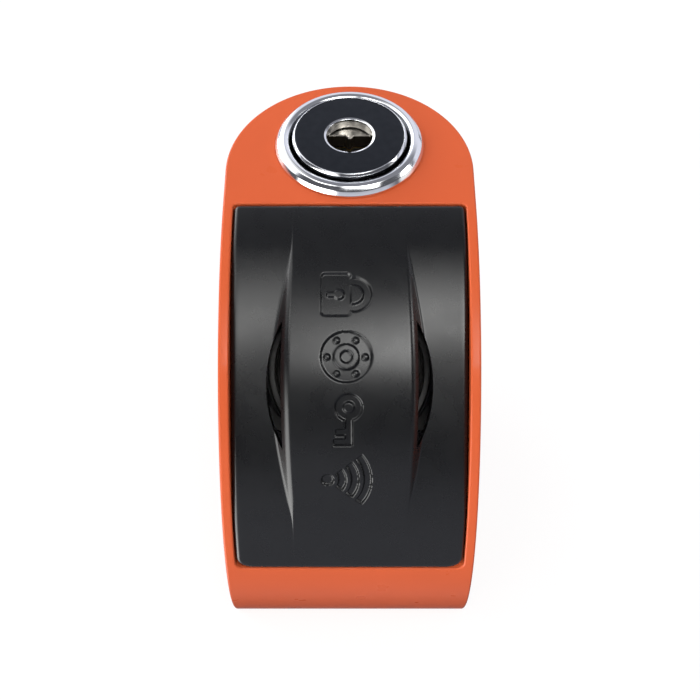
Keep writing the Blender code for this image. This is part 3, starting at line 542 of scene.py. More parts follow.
def sweep(path, radius, sides=12):
    """A round wire along a path."""
    shape = bmesh.new()
    points = [Vector(point) for point in path]
    rings = []
    side = None
    for i, point in enumerate(points):
        ahead = (points[min(i + 1, len(points) - 1)] - points[max(i - 1, 0)]).normalized()
        if side is None:
            side = ahead.orthogonal().normalized()
        side = (side - ahead * side.dot(ahead)).normalized()
        lift = ahead.cross(side)
        angles = [2 * math.pi * k / sides for k in range(sides)]
        rings.append(
            [
                shape.verts.new(
                    point + radius * (side * math.cos(angle) + lift * math.sin(angle))
                )
                for angle in angles
            ]
        )
    return loft(shape, rings)


# ---- shapes over the front circle ----------------------------------------------------------------
def polar(radius, elevation, x=0.0):
    angle = math.radians(elevation)
    return Vector(
        (x, FRONT_Y - radius * math.cos(angle), FRONT_Z + radius * math.sin(angle))
    )


def radial_frame(elevation):
    """A frame at the front circle's centre: z points outwards at the elevation, and x is x."""
    angle = math.radians(elevation)
    out = Vector((0, -math.cos(angle), math.sin(angle)))
    along = Vector((0, math.sin(angle), math.cos(angle)))
    turn = Matrix((Vector((1, 0, 0)), along, out)).transposed().to_4x4()
    return Matrix.Translation((0, FRONT_Y, FRONT_Z)) @ turn


def outline_rows(low, high, radius_low, radius_high, middle, steps):
    """Rows up a rectangle with rounded corners, as (run, what the corner takes off the half
    width)."""
    angles = [math.pi / 2 * i / steps for i in range(steps + 1)]
    rows = [
        (low + radius_low * (1 - math.cos(angle)), radius_low * (1 - math.sin(angle)))
        for angle in angles
    ]
    start, end = low + radius_low, high - radius_high
    rows += [(start + (end - start) * i / middle, 0.0) for i in range(1, middle)]
    rows += [
        (high - radius_high * (1 - math.sin(angle)), radius_high * (1 - math.cos(angle)))
        for angle in angles
    ]
    return rows


def floor_radius(elevation):
    """The opening's floor: a circle cut flat by a chord square to the valley's direction."""
    lean = math.cos(math.radians(elevation - VALLEY_ELEVATION))
    return min(FLOOR_R, FLOOR_CHORD / lean) if lean > 0.2 else FLOOR_R


def tower(rows, half_width, floor, layers, columns=10):
    """A closed solid over the front circle: a floor grid, then rings that step out and up, then a
    lid. layers is a list of (radius, widening)."""
    shape = bmesh.new()
    grid = []
    for run, taken in rows:
        half = half_width - taken
        grid.append([(run, -half + 2 * half * j / columns) for j in range(columns + 1)])
    height, width = len(rows), columns + 1
    border = (
        [(0, j) for j in range(width)]
        + [(i, width - 1) for i in range(1, height)]
        + [(height - 1, j) for j in range(width - 2, -1, -1)]
        + [(i, 0) for i in range(height - 2, 0, -1)]
    )
    flat = [Vector(grid[i][j]) for i, j in border]
    outward = []
    for k in range(len(flat)):
        ahead = flat[(k + 1) % len(flat)] - flat[k - 1]
        # The border starts with increasing x along the low end, where outward is down the run.
        outward.append(Vector((-ahead.y, ahead.x)).normalized())

    def vertex(run, x, radius):
        return shape.verts.new(polar(radius, elevation_at(run), x))

    def widened(widening):
        return [
            (spot.x + away.x * widening, spot.y + away.y * widening)
            for spot, away in zip(flat, outward)
        ]

    bottom = [[vertex(run, x, floor(elevation_at(run))) for run, x in row] for row in grid]
    rings = [[bottom[i][j] for i, j in border]]
    for radius, widening in layers[:-1]:
        rings.append([vertex(run, x, radius) for run, x in widened(widening)])
    radius, widening = layers[-1]
    moved = dict(zip(border, widened(widening)))
    lid = [
        [vertex(*moved.get((i, j), grid[i][j]), radius) for j in range(width)]
        for i in range(height)
    ]
    rings.append([lid[i][j] for i, j in border])
    join_grid(shape, bottom)
    join_grid(shape, lid)
    join_rings(shape, rings)
    return shape


# ---- casting -------------------------------------------------------------------------------------
ARC_STEPS, REAR_STEPS = 110, 96
EDGE_R = 1.6  # the casting's full edge rounding
# Shares of EDGE_R.
SLOT_EDGE_SHARE, TOP_EDGE_SHARE, BOTTOM_EDGE_SHARE = 0.42, 0.82, 0.36
RECESS_CORNER_LOW, RECESS_CORNER_HIGH = 1.7, 0.9
RECESS_FILLET = 0.35
BAY_HALF_W = 16.5
# The bay behind the recess, as (y, z).
BAY_OUTLINE = [
    (-36.8, 30.0), (-30.9, 29.06), (-30.9, 5.0), (-8.0, 5.0), (-8.0, 37.0), (8.5, 37.0),
    (8.5, 64.5), (4.57, 64.6), (4.19, 68.6), (2.85, 82.5), (-60.0, 82.0), (-50.7, 32.2),
]
BUSH_BORE_R, BORE_CHAMFER = 9.35, 0.4
BORE_R, BORE_Z = 10.6, 37.0
BEZEL_POCKET_R, BEZEL_POCKET_Z, BEZEL_POCKET_CHAMFER = 12.3, 65.6, 0.3


def casting_block():
    """The C-shaped outside with its disc slot. Its outer edges are weighted for rounding."""
    shape = bmesh.new()
    low = -math.degrees(math.asin(FRONT_Z / FRONT_R))
    arc = [polar(FRONT_R, low + (90 - low) * i / ARC_STEPS) for i in range(ARC_STEPS + 1)]
    new, face = shape.verts.new, shape.faces.new
    left = [new((-HALF_WIDTH, point.y, point.z)) for point in arc]
    right = [new((HALF_WIDTH, point.y, point.z)) for point in arc]
    rear = [
        (
            -HALF_WIDTH * math.cos(math.pi * i / REAR_STEPS),
            REAR_CENTRE_Y + HALF_WIDTH * math.sin(math.pi * i / REAR_STEPS),
        )
        for i in range(REAR_STEPS + 1)
    ]
    top, upper, lower, bottom = [
        [new((x, y, z)) for x, y in rear] for z in (TOP_Z, SLOT_HIGH, SLOT_LOW, 0.0)
    ]
    left_high, left_low, right_high, right_low = [
        new((side * HALF_WIDTH, SLOT_END_Y, z))
        for side in (-1, 1)
        for z in (SLOT_HIGH, SLOT_LOW)
    ]
    for i in range(ARC_STEPS):
        face((left[i], left[i + 1], right[i + 1], right[i]))
    for i in range(REAR_STEPS):
        face((top[i], top[i + 1], upper[i + 1], upper[i]))
        face((lower[i], lower[i + 1], bottom[i + 1], bottom[i]))
    face([left[-1]] + top + [right[-1]])
    face([left[0]] + bottom + [right[0]])
    face([left_high] + upper + [right_high])
    face([left_low] + lower + [right_low])
    face((left_high, right_high, right_low, left_low))
    face(left + [top[0], upper[0], left_high, left_low, lower[0], bottom[0]])
    face(right + [top[-1], upper[-1], right_high, right_low, lower[-1], bottom[-1]])
    bmesh.ops.recalc_face_normals(shape, faces=shape.faces[:])

    def lies_at(edge, *heights):
        return all(any(abs(vert.co.z - z) < 1e-4 for z in heights) for vert in edge.verts)

    weight = shape.edges.layers.float.new("bevel_weight_edge")
    for edge in shape.edges:
        if edge.calc_face_angle(0) < math.radians(30):
            continue
        if lies_at(edge, SLOT_LOW, SLOT_HIGH):
            edge[weight] = SLOT_EDGE_SHARE
        elif lies_at(edge, TOP_Z):
            edge[weight] = TOP_EDGE_SHARE
        elif lies_at(edge, 0.0):
            edge[weight] = BOTTOM_EDGE_SHARE
        else:
            edge[weight] = 1.0
    return shape


def fillet_layers(radius, steps=6):
    """Rings that round an opening's edge over the outer surface."""
    layers = [(FRONT_R - 1.2, 0.0)]
    for k in range(steps + 1):
        angle = math.pi / 2 * k / steps
        layers.append(
            (FRONT_R - radius + radius * math.sin(angle), radius * (1 - math.cos(angle)))
        )
    layers.append((FRONT_R + 2.5, radius + 0.02))
    return layers


def recess_cutter():
    rows = outline_rows(OPEN_LOW, OPEN_HIGH, RECESS_CORNER_LOW, RECESS_CORNER_HIGH, 90, 8)
    shape = tower(rows, OPEN_HALF_W, floor_radius, fillet_layers(RECESS_FILLET))
    return cutter(shape, "recess", ORANGE)


def bore_cutter():
    """The stepped bore for the pin, the cylinder and the bezel, chamfered where it meets the
    slot and the top."""
    chamfered = BUSH_BORE_R + BORE_CHAMFER
    pocket_mouth = BEZEL_POCKET_R + BEZEL_POCKET_CHAMFER
    profile = [
        (0, 18.0),
        (BUSH_BORE_R, 18.0),
        (BUSH_BORE_R, SLOT_LOW - BORE_CHAMFER),
        (chamfered, SLOT_LOW),
        (chamfered, SLOT_LOW + 1),
        (chamfered, SLOT_HIGH - 1),
        (chamfered, SLOT_HIGH),
        (BUSH_BORE_R, SLOT_HIGH + BORE_CHAMFER),
        (BUSH_BORE_R, BORE_Z),
        (BORE_R, BORE_Z),
        (BORE_R, BEZEL_POCKET_Z),
        (BEZEL_POCKET_R, BEZEL_POCKET_Z),
        (BEZEL_POCKET_R, TOP_Z - BEZEL_POCKET_CHAMFER),
        (pocket_mouth, TOP_Z),
        (pocket_mouth, 75),
        (0, 75),
    ]
    return cutter(turned(profile), "bore", BARE)


def notch_cutter():
    """A notch in the bore's right side."""
    shape = box((8.0, PIN_Y - 3.3, 46.6), (12.6, PIN_Y + 3.3, 65.5))
    return cutter(shape, "notch", BARE)


def stop_hole_cutter():
    profile = [(0, 0), (1.65, 0), (1.65, 7.2), (2.05, 7.6), (2.05, 11), (0, 11)]
    shape = turned(profile, 48, at(0, 31.0, STOP_PIN_Z, (0, 1, 0)))
    return cutter(shape, "stop_hole", BARE)


def screw_hole_cutter():
    profile = [
        (0, 0), (1.7, 0), (1.7, 4.0), (2.9, 4.0), (2.9, 6.2), (3.2, 6.5), (3.2, 8.0), (0, 8.0),
    ]
    shape = bmesh.new()
    for side in (-1, 1):
        turned(profile, 48, at(side * SCREW_X, -9.0, SCREW_Z, (0, 1, 0)), into=shape)
    return cutter(shape, "screw_holes", BARE)


def build_casting():
    casting = place(casting_block(), "lock_casting", [ORANGE, BARE])
    rounding = casting.modifiers.new("rounding", "BEVEL")
    rounding.limit_method = "WEIGHT"
    rounding.width = EDGE_R * MM
    rounding.segments = 8
    rounding.profile = 0.5
    apply_modifier(casting, rounding)
    carve(
        casting,
        recess_cutter(),
        cutter(slab(BAY_OUTLINE, -BAY_HALF_W, BAY_HALF_W), "bay", ORANGE),
        bore_cutter(),
        notch_cutter(),
        stop_hole_cutter(),
        cutter(rod((0, 7.0, PLUNGER_Z), (0, 13.5, PLUNGER_Z), 1.1), "plunger_hole", BARE),
        screw_hole_cutter(),
    )
    tidy(casting)
    show(casting, "lock_body", "body_casting")


# ---- front cover ---------------------------------------------------------------------------------
COVER_GAP = 0.22
COVER_HALF_W = OPEN_HALF_W - COVER_GAP
COVER_LOW, COVER_HIGH = OPEN_LOW + COVER_GAP, OPEN_HIGH - COVER_GAP
COVER_CORNER_LOW, COVER_CORNER_HIGH = 2.9, 1.0
CORNER_STEPS = 10
COVER_EDGE, COVER_EDGE_DROP = 0.85, 0.7  # width and drop of the rounded edge
COVER_THICK = 1.1 - 0.0  # how far the inside stands off the opening's floor
VALLEY_TOP, VALLEY_SLOPE, VALLEY_SOFT = 4.985, 0.182, 2.2
STRAP_HALF_W, STRAP_BULGE, WALL_DRAFT = 9.75, 0.75, 0.95

# The oval opening for the siren, and the strap's bridge over it.
HORN_HALF_W, HORN_HALF_H = 14.12, 18.3
BRIDGE_T, BRIDGE_EDGE_T = 2.2, 1.1

# The marks pressed into the strap.
ICON_X = -0.55
ICON_FIRST, ICON_LAST = run_at(67.3), run_at(28.3)
ICON_DEPTH, ICON_EDGE = 0.45, 0.2
# The part of the cover with the finest grid, which holds the marks.
ICON_LOW, ICON_HIGH, ICON_HALF_W = run_at(22.2), run_at(73.2), 5.2


def soft_min(first, second, blend):
    share = np.maximum(blend - np.abs(first - second), 0.0) / blend
    return np.minimum(first, second) - share * share * blend * 0.25


def smooth(share):
    return share * share * (3 - 2 * share)


def valley_depth(elevation):
    along = VALLEY_SLOPE * np.radians(elevation - VALLEY_ELEVATION) * FRONT_R
    depth = VALLEY_TOP - np.sqrt(along * along + VALLEY_SOFT**2)
    return 0.5 * (depth + np.sqrt(depth * depth + 0.05))


def valley_share(x):
    """The valley gets a little shallower towards the cover's sides."""
    share = np.clip((np.abs(x) - 12.0) / (OPEN_HALF_W - 12.0), 0.0, 1.0)
    return 1.0 - 0.08 * share * share


def strap_half(depth):
    return STRAP_HALF_W + STRAP_BULGE * np.minimum(1.0, depth / 2.8)


def cover_inset(run, x):
    """Distance in from the cover's outline."""
    middle, half = (COVER_LOW + COVER_HIGH) / 2, (COVER_HIGH - COVER_LOW) / 2
    corner = np.where(run < middle, COVER_CORNER_LOW, COVER_CORNER_HIGH)
    over_x = np.abs(x) - COVER_HALF_W + corner
    over_run = np.abs(run - middle) - half + corner
    outside = np.hypot(np.maximum(over_x, 0), np.maximum(over_run, 0))
    return -(np.minimum(np.maximum(over_x, over_run), 0) + outside - corner)


# Distance fields of the marks, negative inside. A spot is (along the strap, across it). The tops
# point across to the right, so the marks are read with the head turned to the right.
def box_field(spot, along, across, half_along, half_across, corner=0.0):
    over_along = np.abs(spot[0] - along) - half_along + corner
    over_across = np.abs(spot[1] - across) - half_across + corner
    return (
        np.minimum(np.maximum(over_along, over_across), 0)
        + np.hypot(np.maximum(over_along, 0), np.maximum(over_across, 0))
        - corner
    )


def disc_field(spot, along, across, radius):
    return np.hypot(spot[0] - along, spot[1] - across) - radius


def ring_field(spot, along, across, radius, half_line):
    return np.abs(disc_field(spot, along, across, radius)) - half_line


def joined(*fields):
    return np.minimum.reduce(fields)


def icon_padlock(spot):
    body = box_field(spot, 0, -1.75, 3.75, 2.5, 0.7)
    bow = np.maximum(ring_field(spot, 0, 1.2, 2.35, 0.68), -(spot[1] - 1.2))
    legs = [box_field(spot, side * 2.35, 0.8, 0.68, 0.9) for side in (-1, 1)]
    hole = joined(
        disc_field(spot, 0, -1.25, 0.85), box_field(spot, 0, -2.3, 0.42, 1.0, 0.2)
    )
    return np.maximum(joined(body, bow, *legs), -hole)


def icon_brake_disc(spot):
    rim = ring_field(spot, 0, 0, 3.2, 1.08)
    for k in range(6):
        angle = math.pi / 3 * k + math.pi / 6
        hole = disc_field(spot, 3.2 * math.cos(angle), 3.2 * math.sin(angle), 0.46)
        rim = np.maximum(rim, -hole)
    return joined(rim, disc_field(spot, 0, 0, 1.0))


def icon_key(spot):
    return joined(
        ring_field(spot, -2.2, 0.4, 1.6, 0.68),
        box_field(spot, 1.9, 0.4, 2.5, 0.62, 0.15),
        box_field(spot, 3.85, -0.9, 0.55, 1.3, 0.15),
        box_field(spot, 2.1, -0.75, 0.55, 1.1, 0.15),
    )


def icon_waves(spot):
    shape = disc_field(spot, 0, -3.2, 1.0)
    wedge = np.abs(spot[0]) - (spot[1] + 3.2) * 0.8
    for radius in (2.55, 4.7, 6.85):
        arc = ring_field(spot, 0, -3.2, radius, 0.62)
        shape = joined(shape, np.maximum(arc, wedge * 0.78))
    return shape


ICONS = [icon_padlock, icon_brake_disc, icon_key, icon_waves]  # from the top down


def deboss(run, x):
    """How deep the marks lie at a point of the strap."""
    depth = np.zeros_like(run)
    for number, icon in enumerate(ICONS):
        centre = ICON_FIRST + (ICON_LAST - ICON_FIRST) * number / (len(ICONS) - 1)
        near = np.abs(run - centre) < 6.5
        if not near.any():
            continue
        field = icon((centre - run[near], x[near] - ICON_X))
        share = np.clip((ICON_EDGE - field) / (2 * ICON_EDGE), 0.0, 1.0)
        depth[near] = np.maximum(depth[near], ICON_DEPTH * smooth(share))
    return depth


def cover_radius(run, x):
    """The cover's outer surface: a raised strap up the middle with a valley on each side."""
    depth = valley_depth(np.degrees(run / FRONT_R))
    top = strap_half(depth)
    wall = -(np.abs(x) - top) / WALL_DRAFT
    side = -depth * valley_share(x)
    crown = -0.12 * np.minimum(1.0, depth / 2.0) * (x / STRAP_HALF_W) ** 2
    strap = soft_min(crown, wall, np.minimum(0.55, depth * 0.8 + 1e-3))
    height = -soft_min(-strap, -side, np.minimum(0.3, depth * 0.5 + 1e-3))
    inset = np.clip(cover_inset(run, x), 0.0, COVER_EDGE)
    edge = COVER_EDGE_DROP * (
        1 - np.sqrt(np.maximum(1 - (1 - inset / COVER_EDGE) ** 2, 0.0))
    )
    flat = np.abs(x) < top - 1.2
    return FRONT_R + height - edge - np.where(flat, deboss(run, x), 0.0)


def spread(low, high, count):
    return [low + (high - low) * i / count for i in range(1, count + 1)]


def cover_rows(fine):
    """The grid's rows, finest over the marks. They make a whole number of steps of four."""
    low, high = COVER_LOW + COVER_CORNER_LOW, COVER_HIGH - COVER_CORNER_HIGH
    corners = outline_rows(
        COVER_LOW, COVER_HIGH, COVER_CORNER_LOW, COVER_CORNER_HIGH, 1, CORNER_STEPS
    )
    below, above = corners[: CORNER_STEPS + 1], corners[CORNER_STEPS + 1 :]
    coarse = max(0.4, 2 * fine)
    middle = [low]
    middle += spread(low, ICON_LOW, round((ICON_LOW - low) / coarse))
    middle += spread(ICON_LOW, ICON_HIGH, round((ICON_HIGH - ICON_LOW) / fine))
    count = round((high - ICON_HIGH) / coarse)
    while (len(below) + len(middle) - 1 + count + len(above) - 2) % 4:
        count += 1
    middle += spread(ICON_HIGH, high, count)
    return below + [(run, 0.0) for run in middle[1:-1]] + above


def cover_columns(rows, fine):
    """Each row's x values. Their lines follow the strap's edges and feet."""
    # Steps over the marks, strap, wall, valley and rounded edge. An even sum fits steps of four.
    counts = [round(ICON_HALF_W / fine), 14, 24, 12, 10]
    while sum(counts) % 2:
        counts[0] += 1
    columns = []
    for run, taken in rows:
        depth = float(valley_depth(elevation_at(run)))
        top = float(strap_half(depth))
        foot = top + WALL_DRAFT * depth
        edge = COVER_HALF_W - taken
        half = [0.0]
        half += spread(0.0, ICON_HALF_W, counts[0])
        half += spread(ICON_HALF_W, top - 0.9, counts[1])
        half += spread(top - 0.9, foot + 0.7, counts[2])
        half += spread(foot + 0.7, edge - COVER_EDGE, counts[3])
        half += [
            edge - COVER_EDGE * (1 - math.sin(math.pi / 2 * (k + 1) / counts[4]))
            for k in range(counts[4])
        ]
        columns.append([-x for x in half[:0:-1]] + half)
    return np.array(columns)


def cover_sheet(fine):
    """The cover as a closed sheet: a fine outside, an inside with a quarter of its lines and a
    stitched rim."""
    rows = cover_rows(fine)
    x = cover_columns(rows, fine)
    height, width = x.shape
    run = np.repeat(np.array([row[0] for row in rows])[:, None], width, axis=1)
    outer = cover_radius(run, x)
    angle = run / FRONT_R
    y = FRONT_Y - outer * np.cos(angle)
    z = FRONT_Z + outer * np.sin(angle)
    shape = bmesh.new()
    face = shape.faces.new
    grid = [
        [shape.verts.new((x[i, j], y[i, j], z[i, j])) for j in range(width)]
        for i in range(height)
    ]
    join_grid(shape, grid)
    inner = {}
    for i in range(0, height, 4):
        for j in range(0, width, 4):
            elevation = elevation_at(run[i, j])
            radius = floor_radius(elevation) + COVER_THICK
            inner[i, j] = shape.verts.new(polar(radius, elevation, x[i, j]))
    for i in range(0, height - 1, 4):
        for j in range(0, width - 1, 4):
            face((inner[i, j], inner[i + 4, j], inner[i + 4, j + 4], inner[i, j + 4]))
    for j in range(0, width - 1, 4):
        for i in (0, height - 1):
            face([grid[i][j + k] for k in range(5)] + [inner[i, j + 4], inner[i, j]])
    for i in range(0, height - 1, 4):
        for j in (0, width - 1):
            face([grid[i + k][j] for k in range(5)] + [inner[i + 4, j], inner[i, j]])
    return shape


def horn_plug():
    """What the siren's opening removes: an oval through the cover that stops under the strap's
    bridge."""
    outline = [
        (
            HORN_HALF_W * math.cos(2 * math.pi * k / 144),
            HORN_HALF_H * math.sin(2 * math.pi * k / 144),
        )
        for k in range(144)
    ]
    oval = cutter(plate(outline, 34, 50, radial_frame(VALLEY_ELEVATION)), "oval", SATIN)
    rows = [(run_at(16 + 64 * i / 90), 0.0) for i in range(91)]
    bridge_r = FRONT_R - BRIDGE_T
    shape = tower(rows, 17, lambda elevation: 30.0, [(bridge_r, 0.0)], columns=34)
    # The lid rises at the bridge's sides, which makes the bridge thinner there.
    centre = Vector((FRONT_Y, FRONT_Z))
    for vert in shape.verts:
        arm = Vector((vert.co.y, vert.co.z)) - centre
        if arm.length < 40:
            continue
        edge = smooth(min(1.0, max(0.0, (abs(vert.co.x) - 9.3) / 1.7)))
        radius = bridge_r + (BRIDGE_T - BRIDGE_EDGE_T) * edge
        vert.co.y, vert.co.z = centre + arm.normalized() * radius
    carve(oval, cutter(shape, "under", SATIN), operation="INTERSECT")
    return oval


def build_cover():
    cover = place(cover_sheet(0.125), "alarm_cover", [SATIN], 40)
    carve(cover, horn_plug())
    tidy(cover, 38)
    show(cover, "lock_body", "front_cover")


# ---- bezel ---------------------------------------------------------------------------------------
BEZEL_R = 13.35
# (radius, height, rounding)
BEZEL_BEAD = [
    (10.9, 67.6, 0.1), (12.1, 67.6, 0.15), (12.1, 70.12, 0.05), (BEZEL_R, 70.12, 0.1),
    (BEZEL_R, 70.5, 0.5), (12.95, 71.25, 0.7), (12.3, 71.85, 0.6), (11.6, 72.05, 0.6),
    (11.0, 71.8, 0.5), (10.62, 71.2, 0.4), (10.5, 70.4, 0.3), (10.55, 69.0, 0.3),
]


def build_bezel():
    bezel = place(turned(rounded(BEZEL_BEAD, 5), 192), "bezel", [CHROME], 40)
    show(bezel, "lock_body", "bezel_ring")
    ring = turned(arc_points(11.45, 66.5, 0.7, 0, 360, 20)[:-1])
    wiper = place(ring, "cylinder_wiper_ring", [RUBBER], weighted=False)
    show(wiper, "lock_body", "bezel_o_ring")


# ---- cylinder ------------------------------------------------------------------------------------
SHELL_R, HEAD_R = 10.2, 10.25
KEYHOLE_R = 4.54
CHANNEL_X = -7.8
LATCH_COIL_R, LATCH_WIRE_R = 1.0, 0.2
LATCH_SPRING_X, LATCH_SPRING_LENGTH, LATCH_SPRING_Z = -7.6, 3.3, 49.2


def cross_hole():
    """The cutter for the hole that the cross pin goes through."""
    shape = rod((-12, PIN_Y, CROSS_PIN_Z), (12, PIN_Y, CROSS_PIN_Z), 0.95, 24)
    return cutter(shape, "cross_hole", BARE)


def stop_groove():
    """An upright slot with round ends in the shell's back."""
    outline = arc_points(0, STOP_PIN_Z, 1.8, 0, 180, 12) + arc_points(0, 48.0, 1.8, 180, 360, 12)
    swap_yz = Matrix(((1, 0, 0, 0), (0, 0, 1, 0), (0, 1, 0, 0), (0, 0, 0, 1)))
    return cutter(plate(outline, PIN_Y + 8.4, PIN_Y + 12, swap_yz), "stop_groove", BARE)


def front_ramp():
    """A groove down the shell's front that gets deeper towards its lower end."""
    outline = [
        (PIN_Y - 8.35, 45.6), (PIN_Y - 10.03, 63.2), (PIN_Y - 12.0, 63.2), (PIN_Y - 12.0, 45.6),
    ]
    return cutter(slab(outline, -1.4, 1.4), "ramp", BARE)


def build_shell():
    profile = [
        (0, 43.0), (SHELL_R, 43.0, 0.4), (SHELL_R, 65.9), (HEAD_R, 66.1),
        (HEAD_R, FACE_Z - 0.42, 0.14), (9.93, FACE_Z, 0.1), (9.8, FACE_Z, 0.03), (9.8, 70.5),
        (7.6, 70.5, 0.1), (7.6, 51.2), (0, 51.2),
    ]

    def slot_of(radius, height):
        # The head's side wall, in the narrow gap inside the bezel, is painted dark as shade.
        return 2 if radius > SHELL_R and 66.0 < height < FACE_Z - 0.5 else 0

    shape = turned(rounded(profile), 160, slot_of=slot_of)
    shell = place(shape, "cylinder_body", [CHROME, BARE, WALL], 30)
    channel = box((CHANNEL_X, PIN_Y - 3.1, 47.3), (12.0, PIN_Y + 3.1, 51.6))
    carve(
        shell,
        cutter(turned([(0, 42.0), (7.15, 42.0), (7.15, 46.0), (0, 46.0)], 96), "socket", BARE),
        cutter(channel, "channel", BARE),
        stop_groove(),
        front_ramp(),
        cross_hole(),
    )
    tidy(shell, 30)
    show(shell, "lock_cylinder", "cylinder_shell")


def build_face_plate():
    """A dark polished ring with a bright edge at the keyhole and a small index notch in front."""
    profile = [
        (KEYHOLE_R - 0.4, 70.65), (9.76, 70.65), (9.76, FACE_Z - 0.09, 0.03),
        (9.68, FACE_Z - 0.03, 0.03), (KEYHOLE_R + 0.02, FACE_Z - 0.03, 0.06),
        (KEYHOLE_R - 0.36, FACE_Z - 0.17, 0.08), (KEYHOLE_R - 0.4, 72.0),
    ]
    shape = turned(
        rounded(profile, 3),
        160,
        slot_of=lambda radius, height: 1 if radius < KEYHOLE_R + 0.01 else 0,
    )
    face = place(shape, "cylinder_face", [FACE, RIM], 30)
    index_y = PIN_Y - KEYHOLE_R + 0.42
    index = rod((0, index_y, 69.0), (0, index_y, 74.0), 0.45, 24)
    carve(face, cutter(index, "index", RIM))
    tidy(face, 30)
    show(face, "lock_cylinder", "face_plate")


def build_pin():
    profile = [(0, 20.2), (5.8, 20.2, 0.4), (7.0, 21.4, 0.6), (7.0, 45.8, 0.2), (0, 45.8)]
    pin = place(turned(rounded(profile)), "disc_pin", [STEEL], 30)
    carve(pin, cross_hole())
    tidy(pin, 30)
    show(pin, "lock_cylinder", "locking_pin")
    shape = rod((-9.9, PIN_Y, CROSS_PIN_Z), (9.9, PIN_Y, CROSS_PIN_Z), 0.8, 24, 0.2)
    dowel = place(shape, "pin_cross_dowel", [STEEL])
    show(dowel, "lock_cylinder", "cross_pin")


def build_latch_spring():
    """Four turns that lie along x."""
    length = LATCH_SPRING_LENGTH - 2 * LATCH_WIRE_R
    path = [
        (
            LATCH_SPRING_X + LATCH_WIRE_R + length * i / 96,
            PIN_Y + LATCH_COIL_R * math.cos(2 * math.pi * i / 24),
            LATCH_SPRING_Z + LATCH_COIL_R * math.sin(2 * math.pi * i / 24),
        )
        for i in range(97)
    ]
    spring = place(sweep(path, LATCH_WIRE_R, 8), "latch_coil_spring", [SPRING], weighted=False)
    show(spring, "lock_cylinder", "latch_spring")


def build_snap_ring():
    outer, inner = [arc_points(0, PIN_Y, radius, 290, 610, 96) for radius in (7.35, 5.9)]
    ring = place(plate(outer + inner[::-1], 68.55, 69.25), "rotor_snap_ring", [SPRING])
    show(ring, "lock_cylinder", "snap_ring")


# ---- plug ----------------------------------------------------------------------------------------
ROTOR_TOP = 70.3
KEYWAY_CHAMFER_Z, KEYWAY_FLARE = 70.1, 0.14
DISC_COUNT, DISC_START = 7, 54.45
DISC_R, DISC_T, DISC_STEP = 6.35, 1.2, 1.26
SPACER_INNER_R, SPACER_T, SPACER_STEP = 4.4, 0.6, 0.66


def keyway(radius):
    """Half-moon outline with a tooth at the middle of its straight side. Its round side faces the
    front."""
    back, side = PIN_Y + 2.3, radius - 0.1
    return arc_points(0, PIN_Y + 0.4, radius, 180, 360, 28) + [
        (side, back - 0.15), (side - 0.15, back), (0.8, back), (0.24, back - 0.66),
        (-0.24, back - 0.66), (-0.8, back), (0.15 - side, back), (-side, back - 0.15),
    ]


def rotor_keyway():
    """The rotor's keyway, chamfered at its mouth so that it catches the light."""
    tight = keyway(4.0)
    flared = []
    for i, (x, y) in enumerate(tight):
        ahead = Vector(tight[(i + 1) % len(tight)]) - Vector(tight[i - 1])
        away = Vector((ahead.y, -ahead.x)).normalized() * KEYWAY_FLARE
        flared.append((x + away.x, y + away.y))
    levels = (
        (tight, 66.5), (tight, KEYWAY_CHAMFER_Z), (flared, ROTOR_TOP), (flared, 71.5),
    )
    shape = bmesh.new()
    loft(shape, [[shape.verts.new((x, y, z)) for x, y in outline] for outline, z in levels])
    # Its walls below the chamfer are painted dark as shade down the hole, and its chamfer keeps the
    # rotor's nickel.
    for face in shape.faces:
        face.material_index = int(face.calc_center_median().z < KEYWAY_CHAMFER_Z)
    return cutter(shape, "rotor_keyway", NICKEL, KEYWAY_SHADE)


def build_rotor():
    profile = [
        (6.6, 54.4, 0.1), (7.3, 54.4, 0.15), (7.3, 68.3, 0.15), (5.5, 68.3, 0.1),
        (5.5, ROTOR_TOP, 0.15), (0, ROTOR_TOP), (0, 67.6), (6.6, 67.6, 0.2),
    ]
    rotor = place(turned(rounded(profile, 3)), "plug_rotor", [NICKEL, KEYWAY_SHADE], 30)
    carve(rotor, rotor_keyway())
    tidy(rotor, 30)
    show(rotor, "plug", "rotor_core")


def build_key_disc(number, level):
    mat, slot = (BRASS, "brass") if number % 2 else (NICKEL, "brushed_steel")
    profile = disc_profile(DISC_R, level, level + DISC_T, 0.1, 2)
    disc = place(turned(profile, 96), f"key_disc_{number}", [mat], 30)
    low, high = level - 0.5, level + 1.7
    shape = plate(keyway(3.9), low, high)
    # Each disc also has its own side notch for the locking bar.
    angle = math.radians(200 + 11 * number)
    x, y = 6.5 * math.cos(angle), PIN_Y + 6.5 * math.sin(angle)
    rod((x, y, low), (x, y, high), 0.7, 20, into=shape)
    carve(disc, cutter(shape, "disc_keyway", NICKEL))
    tidy(disc, 30)
    show(disc, "plug", f"detainer_disc_{number}")


def build_disc_spacer(number, level):
    profile = washer_profile(SPACER_INNER_R, DISC_R, level, level + SPACER_T, 0.08, 2)
    spacer = place(turned(profile, 96), f"key_disc_spacer_{number}", [NICKEL])
    show(spacer, "plug", f"disc_spacer_{number}")


def build_disc_pack():
    level = DISC_START
    for number in range(1, DISC_COUNT + 1):
        build_key_disc(number, level)
        level += DISC_STEP
        if number < DISC_COUNT:
            build_disc_spacer(number, level)
            level += SPACER_STEP


def build_tail_cam():
    """A disc with a stud under it, off its axis."""
    cam = place(turned(disc_profile(7.2, 51.7, 54.2, 0.2), 96), "plug_tail_cam", [STEEL], 30)
    offset = 1.06
    stud = rod((offset, PIN_Y - offset, 48.3), (offset, PIN_Y - offset, 52.5), 1.1, 32, 0.2)
    carve(cam, cutter(stud, "stud", STEEL), operation="UNION")
    tidy(cam, 30)
    show(cam, "plug", "tail_cam")


